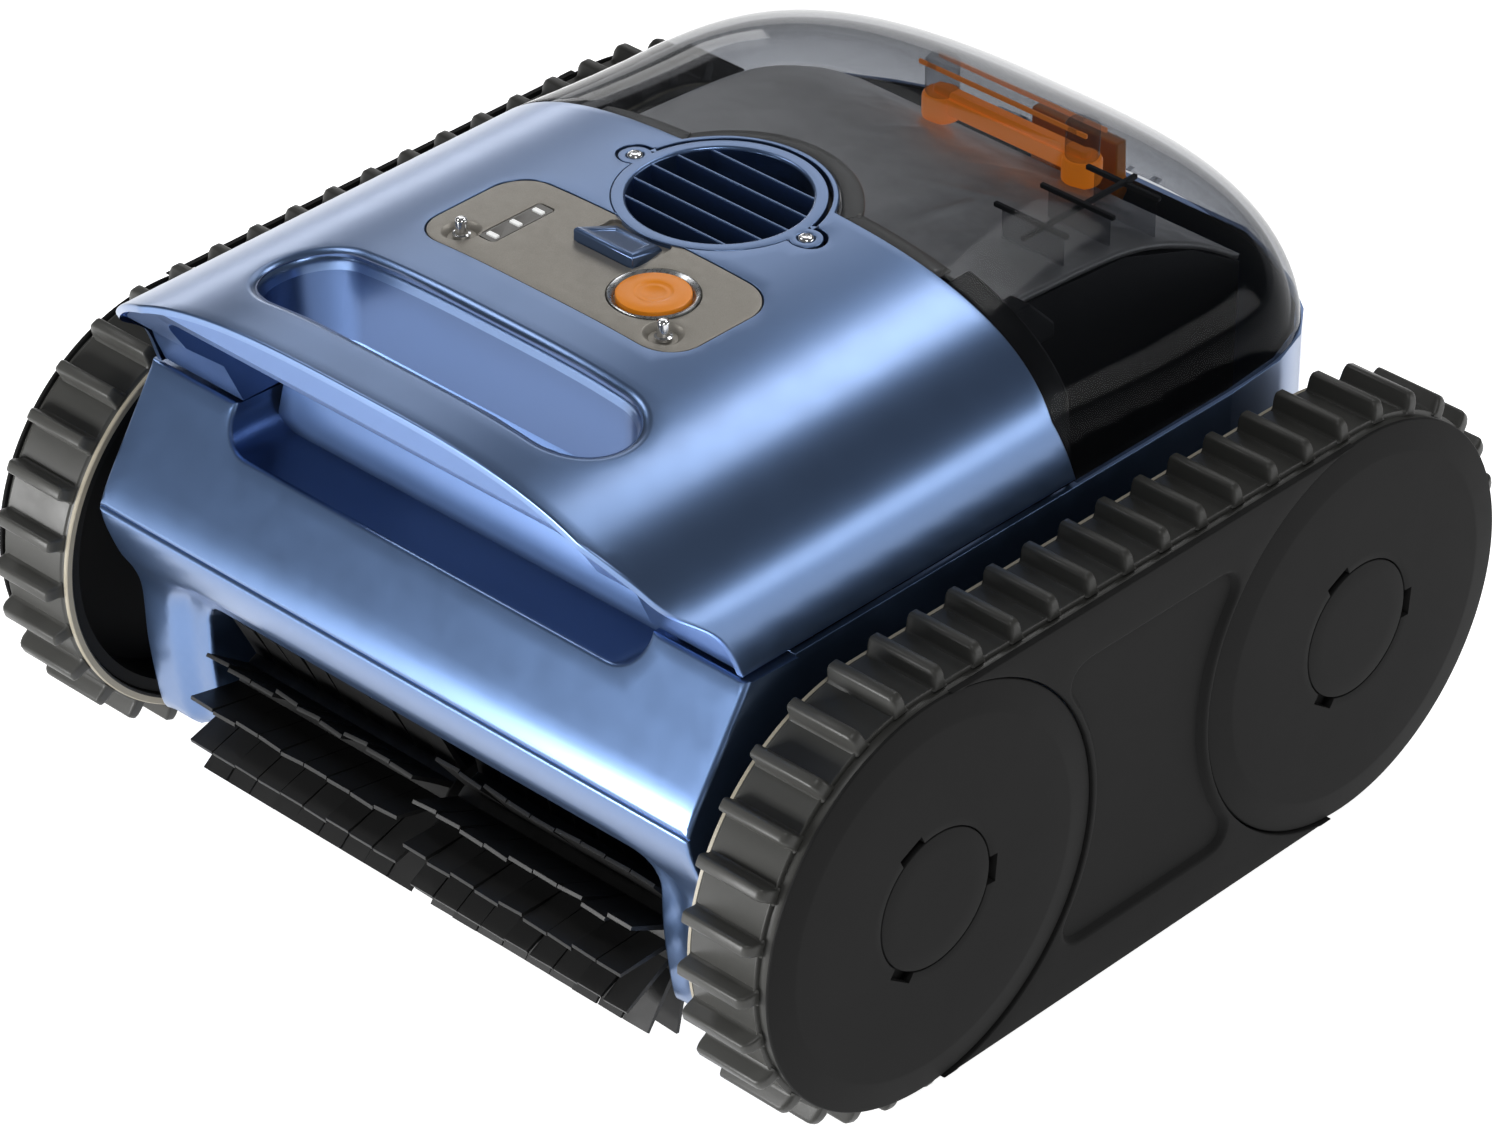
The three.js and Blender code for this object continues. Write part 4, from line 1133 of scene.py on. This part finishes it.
# Faces of the nose and of the apron below it as (Y, Z), from the top down.
NOSE_PROFILE = [(-159.5, 182.6), (-168.5, 168), (-178, 153), (-186.5, 139.5), (-190.3, 131.2)]
APRON_PROFILE = [(-190.3, 130.4), (-188.5, 122), (-182.5, 107), (-176, 96), (-172.5, 85), (-171, 60),
                 (-166, 30), (-160, 25)]

GRIP_HALF = 107
GRIP_SILL = 168
GRIP_CORNER = 14
MOUTH_HALF = 118.5
MOUTH_TOP = 93.0
MOUTH_CORNER = 12.0
BAY_TOP = 94.5
DENT = 3.2


def profile_sheet(points):
    """Lift for a sheet swept along X over a smooth (Y, Z) profile, arc length of a height, whole length."""
    curve = np.array(smooth_curve(points, 12))
    steps = np.hypot(*np.diff(curve, axis=0).T)
    length = np.concatenate([[0], np.cumsum(steps)])

    def point(t):
        return float(np.interp(t, length, curve[:, 0])), float(np.interp(t, length, curve[:, 1]))

    def lift(x, t, dent=0.0):
        along = (Vector(point(t + 1)) - Vector(point(t - 1))).normalized()
        normal = Vector((0, along.y, -along.x))
        if normal.y > 0:
            normal = -normal
        return Vector((x, *point(t))) - normal * dent, normal

    def at_height(z):
        return float(np.interp(-z, -curve[:, 1], length))

    return lift, at_height, float(length[-1])


def make_nose():
    """The sloping front, cut down in the middle where the hand reaches under the carrying bar."""
    lift, at_height, total = profile_sheet(NOSE_PROFILE)
    half = NOSE_HIGH.x
    inner, level = GRIP_HALF - GRIP_CORNER, at_height(GRIP_SILL) - GRIP_CORNER
    outline = [
        (-half, total), (half, total), (half, 0), (GRIP_HALF, 0), *arc(inner, level, GRIP_CORNER, 0, 90),
        *arc(-inner, level, GRIP_CORNER, 90, 180), (-GRIP_HALF, 0), (-half, 0),
    ]

    def to_bulkhead(p):
        return Vector((p.x, BULKHEAD_Y, p.z))

    piece = skin("nose_shell_fine", lift, [(outline, rounded(2.2, 4.0), to_bulkhead, True)], 6,
                 MATERIALS["body_blue"])
    settle(piece, "nose_shell")


def make_apron():
    """The front's lower part, arched over the brush."""
    lift, at_height, total = profile_sheet(APRON_PROFILE)
    half = APRON_HIGH.x
    inner, level = MOUTH_HALF - MOUTH_CORNER, at_height(MOUTH_TOP) + MOUTH_CORNER

    def lift_dented(x, t):
        """The apron's face, sunk a little in a soft band round the mouth."""
        away = math.hypot(max(abs(x) - inner, 0), max(level - t, 0)) - MOUTH_CORNER
        return lift(x, t, DENT * (1 - smoothstep(away, 11, 18)))

    outline = [
        (half, total), (MOUTH_HALF, total), *arc(inner, level, MOUTH_CORNER, 0, -90),
        *arc(-inner, level, MOUTH_CORNER, -90, -180), (-MOUTH_HALF, total),
        (-half, total), (-half, 0), (half, 0),
    ]

    def to_bay(p):
        return Vector((p.x, BULKHEAD_Y if p.z > BAY_TOP else APRON_HIGH.y, p.z))

    piece = skin("brush_apron_fine", lift_dented, [(outline, rounded(2.0, 4.0), to_bay, False)], 4,
                 MATERIALS["body_blue"])
    settle(piece, "brush_apron")


# ---- brush ----

BRUSH_CENTRE = centre_mm("brush_shaft")
BRUSH_LOW, BRUSH_HIGH = box_mm("brush_right")
BRUSH_RADIUS = (BRUSH_HIGH.z - BRUSH_LOW.z) / 2
PADDLES = 14
FINGERS = 9
CORE_RADIUS = 17
PADDLE_FOOT = 14
PADDLE_LEAN = math.radians(14)
PADDLE_SHIFT = 4
SLIT_START, SLIT_HALF = 18, 0.28
BEND_REACH = 29

# Half thickness of a paddle at growing radii.
PADDLE_LEVELS = [(PADDLE_FOOT, 1.5), (19, 1.25), (26, 1.05), (34, 0.9), (41.6, 0.75),
                 (BRUSH_RADIUS - 0.3, 0.45)]


def rotated(y, z, angle):
    """Y and Z turned about the X axis."""
    return y * math.cos(angle) - z * math.sin(angle), y * math.sin(angle) + z * math.cos(angle)


def make_brush(side, sign):
    """Rubber paddles on a core, each slit from its edge into short fingers that lean a little by chance."""
    node = f"brush_{side}"
    low, high = box_mm(node)
    x0, x1 = (low.x, high.x) if sign > 0 else (-high.x, -low.x)
    chance = random.Random(11 if sign > 0 else 12)
    core, bore, edge = CORE_RADIUS, 5.4, 0.4
    vertices, faces = [], []
    add_rings(vertices, faces, lathe_x([(bore, x0), (core - edge, x0), (core, x0 + edge), (core, x1 - edge),
                                        (core - edge, x1), (bore, x1), (bore, x0)], 0, 0, 48))
    width = (x1 - x0) / FINGERS
    for i in range(PADDLES):
        turn = 2 * math.pi * (i + (0 if sign > 0 else 0.5)) / PADDLES
        for k in range(FINGERS):
            lean = chance.uniform(-1.1, 1.1)
            twist = chance.uniform(-0.5, 0.5)
            rows = []
            for r, half in PADDLE_LEVELS:
                slit = 0.0 if r < SLIT_START else SLIT_HALF
                bend = ((r - PADDLE_FOOT) / BEND_REACH) ** 2
                start, stop = k * width + slit, (k + 1) * width - slit
                row = []
                for x, t in ((start, -half), (stop, -half), (stop, half), (start, half)):
                    offset = t + bend * (lean + twist * (x / width - k - 0.5) * 2)
                    y, z = rotated(offset, r, PADDLE_LEAN)
                    row.append((x0 + x, *rotated(y + PADDLE_SHIFT, z, turn)))
                rows.append(row)
            add_rings(vertices, faces, rows, caps=True)
    placed = [(x * sign, y + BRUSH_CENTRE.y, z + BRUSH_CENTRE.z) for x, y, z in vertices]
    settle(add_object(f"{node}_fine", placed, faces, MATERIALS["brush_rubber"], 35), node)


# ---- lid ----

LID_LOW, LID_HIGH = box_mm("lid")
CURVE_START = 71.6
CURVE_LENGTH = 148.9
LID_RISE = 1.5
LID_POWER = 2.4
LID_FLOOR = LID_LOW.z
LID_WALL = 3.0
TAIL_START = 178.0
ANGLE_SCALE = 110.0
DENT_RADIUS = BULGE_RADIUS + 0.4
FRONT_EDGE_Z = 209
SIDE_EDGE_START = 14.4


def lid_size(y):
    """Half width, height over the shoulder line and the Z exponent of the lid's section at Y."""
    blend = 1 - (1 - min((y - SEAM_Y) / (CURVE_START - SEAM_Y), 1)) ** 2
    t = max((y - CURVE_START) / CURVE_LENGTH, 0)
    width = HALF_WIDTH * (1 - t ** 4.77) ** 1.2
    height = (SHELL_TOP - SHOULDER_Z + LID_RISE * blend) * (1 - t ** 2.07) ** 0.75
    tail = min(max((y - TAIL_START) / (LID_HIGH.y - TAIL_START), 0), 1)
    return width, height * math.sqrt(1 - tail ** 3), SHOULDER_POWER + (LID_POWER - SHOULDER_POWER) * blend


def lid_point(a, y):
    """Point of the lid's outer face at a scaled angle from the top centre."""
    width, height, power = lid_size(y)
    angle = math.pi / 2 - a / ANGLE_SCALE
    height = max(height, 0.01)
    c, s = abs(math.cos(angle)), max(math.sin(angle), 0)
    reach = bisect(0.0, 400.0, lambda r: (r * c / width) ** SHOULDER_POWER + (r * s / height) ** power < 1)
    return Vector((math.copysign(reach * c, a), y, SHOULDER_Z + reach * s))


def lift_lid(a, y):
    """Position and outward normal on the lid's outer face."""
    place = lid_point(a, y)
    across = lid_point(a + 0.5, y) - lid_point(a - 0.5, y)
    step = 0.5 if y < LID_HIGH.y - 1 else -0.5
    along = (lid_point(a, y + step) - place) * (1 if step > 0 else -1)
    normal = across.cross(along).normalized()
    return place, -normal if normal.z < 0 else normal


def lid_angle(y, z):
    """Scaled angle at which the lid's face comes down to the height z at Y."""
    return bisect(0.0, ANGLE_SCALE * math.pi / 2, lambda a: lid_point(a, y).z > z)


def angle_of_x(x, y):
    """Signed scaled angle at which the lid's face reaches X at Y."""
    return math.copysign(bisect(0.0, ANGLE_SCALE * 1.2, lambda a: lid_point(a, y).x < abs(x)), x)


def lid_dent(radius, steps):
    """The dent round the outlet in the lid's front edge, from the middle to the right."""
    end = math.degrees(math.asin((LID_LOW.y - OUTLET_Y) / DENT_RADIUS))
    return [(angle_of_x(x, y), y) for x, y in arc(0, OUTLET_Y, radius, 90, end, steps)]


def mirrored(right):
    """A run of points from the middle to the right, with its mirror image before it."""
    return [(-a, y) for a, y in reversed(right[1:])] + right


def make_lid():
    """The smoked lid: one sheet down to its level floor edge, closer stepped where its tail curves in."""
    steps = [*range(24, 145, 10), 152, 160, 166, 172, 178, 182, 186, 189, 191, 193, 194.5]
    side = [(lid_angle(y, LID_FLOOR), y) for y in (SIDE_EDGE_START, *steps)]
    right = [*lid_dent(DENT_RADIUS, 20), (lid_angle(LID_LOW.y, FRONT_EDGE_Z), LID_LOW.y), *side]
    outline = right + [(0, LID_HIGH.y - 0.6)] + [(-a, y) for a, y in reversed(right[1:])]
    piece = skin("lid_fine", lift_lid, [(outline, [(0, 0)], None, False)], 4.5, MATERIALS["smoke_clear"])
    thicken(piece, LID_WALL)
    round_edges(piece, 0.7, 3, 50)
    settle(piece, "lid")


# ---- under the lid ----

FILTER_LOW, FILTER_HIGH = box_mm("filter_top")
FILTER_PROFILE = [(FILTER_LOW.y, 225.4), (100, 220.4), (140, 206.4), (FILTER_HIGH.y, 189.6)]
FOLDS = 46
FOLD_WIDTH = 2.2


def make_filter_top():
    """The filter's top: a matt sheet over the basket, creased by folds that fade towards its edges."""
    ys, zs = zip(*smooth_curve(FILTER_PROFILE, 10))
    columns, rows = 90, 60
    chance = random.Random(5)
    folds = [(chance.uniform(-90, 90), chance.uniform(40, 160), chance.uniform(0, math.pi),
              chance.uniform(6, 22), chance.uniform(0.25, 0.8)) for _ in range(FOLDS)]
    grid = []
    for j in range(rows + 1):
        y = FILTER_LOW.y + (FILTER_HIGH.y - FILTER_LOW.y) * j / rows
        row = []
        for i in range(columns + 1):
            x = FILTER_LOW.x + (FILTER_HIGH.x - FILTER_LOW.x) * i / columns
            rise = 0.0
            for fx, fy, turn, reach, height in folds:
                across = (x - fx) * math.cos(turn) + (y - fy) * math.sin(turn)
                along = (y - fy) * math.cos(turn) - (x - fx) * math.sin(turn)
                rise += height * math.exp(-((across / FOLD_WIDTH) ** 2)) * math.exp(-((along / reach) ** 2))
            edge = min(x - FILTER_LOW.x, FILTER_HIGH.x - x, y - FILTER_LOW.y, FILTER_HIGH.y - y)
            row.append((x, y, float(np.interp(y, ys, zs)) + rise * smoothstep(edge, 0, 12) - 0.4))
        grid.append(row)
    vertices, faces = [], []
    add_rings(vertices, faces, grid, closed=False)
    piece = add_object("filter_top_fine", vertices, faces, MATERIALS["filter_mesh"], 60)
    thicken(piece, 2.4)
    settle(piece, "filter_top")


FLANGE_DROP = 3.6
FLANGE_SPLIT = 96


def seam_strip(name, material, a_low, a_high, width):
    """A strip under the lid's wall along its front seam and the dent round the outlet, where the
    scaled angle lies between the two given."""
    front = LID_LOW.y
    dent = lid_dent(DENT_RADIUS + 0.4, 24)
    upper, lower = dent[-1][0], lid_angle(front, FRONT_EDGE_Z)
    level = [(upper + (lower - upper) * i / 30, front + 0.4) for i in range(1, 31)]
    foot = [(lid_angle(SIDE_EDGE_START, LID_FLOOR + 1), SIDE_EDGE_START + 0.4)]
    seam = mirrored([*dent, *level, *foot])
    inward = [-d for d in outward([*seam, (0, 150)])][:-1]
    rows = []
    for share in (0, 0.08, 0.5, 0.92, 1):
        drop = FLANGE_DROP + (0.5 if share in (0, 1) else 0)
        row = []
        for (a, y), d in zip(seam, inward):
            place, normal = lift_lid(a + d.x * width * share, y + d.y * width * share)
            row.append(place - normal * drop)
        rows.append(row)
    runs = [[]]
    for i, (a, _) in enumerate(seam):
        if a_low <= abs(a) <= a_high:
            runs[-1].append(i)
        elif runs[-1]:
            runs.append([])
    vertices, faces = [], []
    for run in filter(None, runs):
        add_rings(vertices, faces, [[row[i] for i in run] for row in rows], closed=False)
    piece = add_object(name, vertices, faces, MATERIALS[material], 40)
    thicken(piece, 1.2)
    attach(piece, "lid")


HANDLE_LOW, HANDLE_HIGH = box_mm("filter_handle")
HANDLE_Y = centre_mm("filter_handle").y
POST_X = HANDLE_HIGH.x - 8


def make_handle():
    """The orange lifting bar on two round feet."""
    bottom, bar_low, bar_high = HANDLE_LOW.z, HANDLE_HIGH.z - 9.5, HANDLE_HIGH.z
    outline = rounded_rectangle(-POST_X - 5, POST_X + 5, HANDLE_Y - 4.2, HANDLE_Y + 4.2, 4.1, 8)
    levels = [(bar_low, 0.6), (bar_low + 0.6, 0), (bar_high - 3.2, 0), (bar_high - 2.6, 0.5),
              (bar_high - 2.6, 1.4), (bar_high - 0.6, 1.6), (bar_high, 2.2)]
    rows = [[(a, b, z) for a, b in shrink(outline, inset)] for z, inset in levels]
    vertices, faces = [], []
    add_rings(vertices, faces, rows, caps=True)
    foot = [(0.01, bottom + 8), (6.6, bottom + 8), (7.6, bottom + 8.8), (8.0, bottom + 10),
            (8.0, bar_low + 5), (7.4, bar_low + 6.4), (6, bar_low + 7), (0.01, bar_low + 7)]
    for x in (-POST_X, POST_X):
        add_rings(vertices, faces, lathe_z(foot, x, HANDLE_Y, 40))
    piece = add_object("filter_handle_fine", vertices, faces, MATERIALS["handle_orange"], 40)
    settle(piece, "filter_handle")


def shrink(loop, inset):
    """The closed loop moved inwards by the inset."""
    return [tuple(Vector(p) - d * inset) for p, d in zip(loop, outward(loop))]


def block(name, xs, ys, zs, material, bevel=0.4):
    """A small moulded block on the chassis between pairs of X, Y and Z, with rounded edges."""
    corner = [(x, y, z) for x in xs for y in ys for z in zs]
    piece = add_object(name, corner, BOX_FACES, MATERIALS[material])
    round_edges(piece, bevel)
    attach(piece, CHASSIS)


def make_interior():
    """Fittings seen through the lid: the comb of the filter frame, posts and the frame over the handle."""
    for i, y in enumerate((72, 98, 124)):
        top = 235 - i * 3
        block(f"filter_comb_{i + 1}", (62, 92), (y - 0.6, y + 0.6), (206, top + 1), "smoke_clear",
              0.3)
        block(f"filter_comb_bar_{i + 1}", (58, 94), (y - 1, y + 1), (top, top + 2), "inner_black")
    block("filter_comb_spine", (76, 78), (66, 130), (230, 232), "inner_black")
    post = [(0.01, 216), (6.4, 216), (6.8, 217), (6.8, 230), (6.2, 231), (0.01, 231)]
    for i, x in enumerate((-POST_X, POST_X)):
        piece = turned(f"handle_post_{i + 1}", post, x, HANDLE_Y, MATERIALS["smoke_clear"], 40)
        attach(piece, CHASSIS)
    frame_xs = (-POST_X - 7, POST_X + 7)
    # The frame over the handle shares the handle's painted glow.
    block("handle_frame_front", frame_xs, (HANDLE_Y - 6.4, HANDLE_Y - 5.2), (228.5, 230.5), "handle_orange")
    block("handle_frame_rear", frame_xs, (HANDLE_Y + 5.2, HANDLE_Y + 6.4), (226.5, 228.5), "handle_orange")


# ---- pieces left as the CAD made them ----

# Width of the rounding on their edges.
PLAIN = {
    "hull_tub": 1.2, "grip_liner": 0.8, "led_window": 0.2,
    "led_bar_1": 0.3, "led_bar_2": 0.3, "led_bar_3": 0.3, "outlet_duct": 0.3, "impeller": 0.3,
    "impeller_shaft": 0.3, "pump_motor": 0.8, "battery_pack": 2.0, "control_box": 2.0, "lid_seal": 0.3,
    "lid_latch": 0.8, "lid_hinge_arm_right": 1.0, "lid_hinge_arm_left": 1.0, "filter_basket": 0.8,
    "intake_flap": 0.4, "intake_duct": 0.5, "brush_shaft": 0.4, "brush_bush_right": 0.4,
    "brush_bush_left": 0.4,
}


def make_plain():
    """The CAD's own solids, with rounded edges."""
    # The pocket liner takes the darker copy of the body blue as painted shade.
    refined("pocket_liner", 0.3, material=MATERIALS["pocket_shade_blue"])
    for node, bevel in PLAIN.items():
        refined(node, bevel)
    for side in ("right", "left"):
        for name, bevel in (("idler_axle", 0.4), ("drive_axle", 0.4), ("drive_motor", 0.8)):
            refined(f"{name}_{side}", bevel)


bpy.context.scene.view_settings.view_transform = "Standard"
MATERIALS = make_materials()
make_camera()
make_lights()
make_floor()
for SIDE, SIGN in (("right", 1), ("left", -1)):
    make_belt(SIDE, SIGN)
    make_side_plate(SIDE, SIGN)
    for END in ("front", "rear"):
        make_wheel(END, SIDE, SIGN)
        make_hub_cap(END, SIDE, SIGN)
    make_brush(SIDE, SIGN)
make_upper_shell()
make_outlet_insert()
make_panel()
make_wedge()
make_button()
make_pins()
make_nose()
make_apron()
make_lid()
# The pale strip is the lid's flange, brightened as painted light for the refraction through the lid.
seam_strip("lid_flange_light", "flange_light", 0, FLANGE_SPLIT, 9)
seam_strip("lid_flange_black", "seal_black", FLANGE_SPLIT, 400, 15)
make_filter_top()
make_handle()
make_interior()
make_plain()
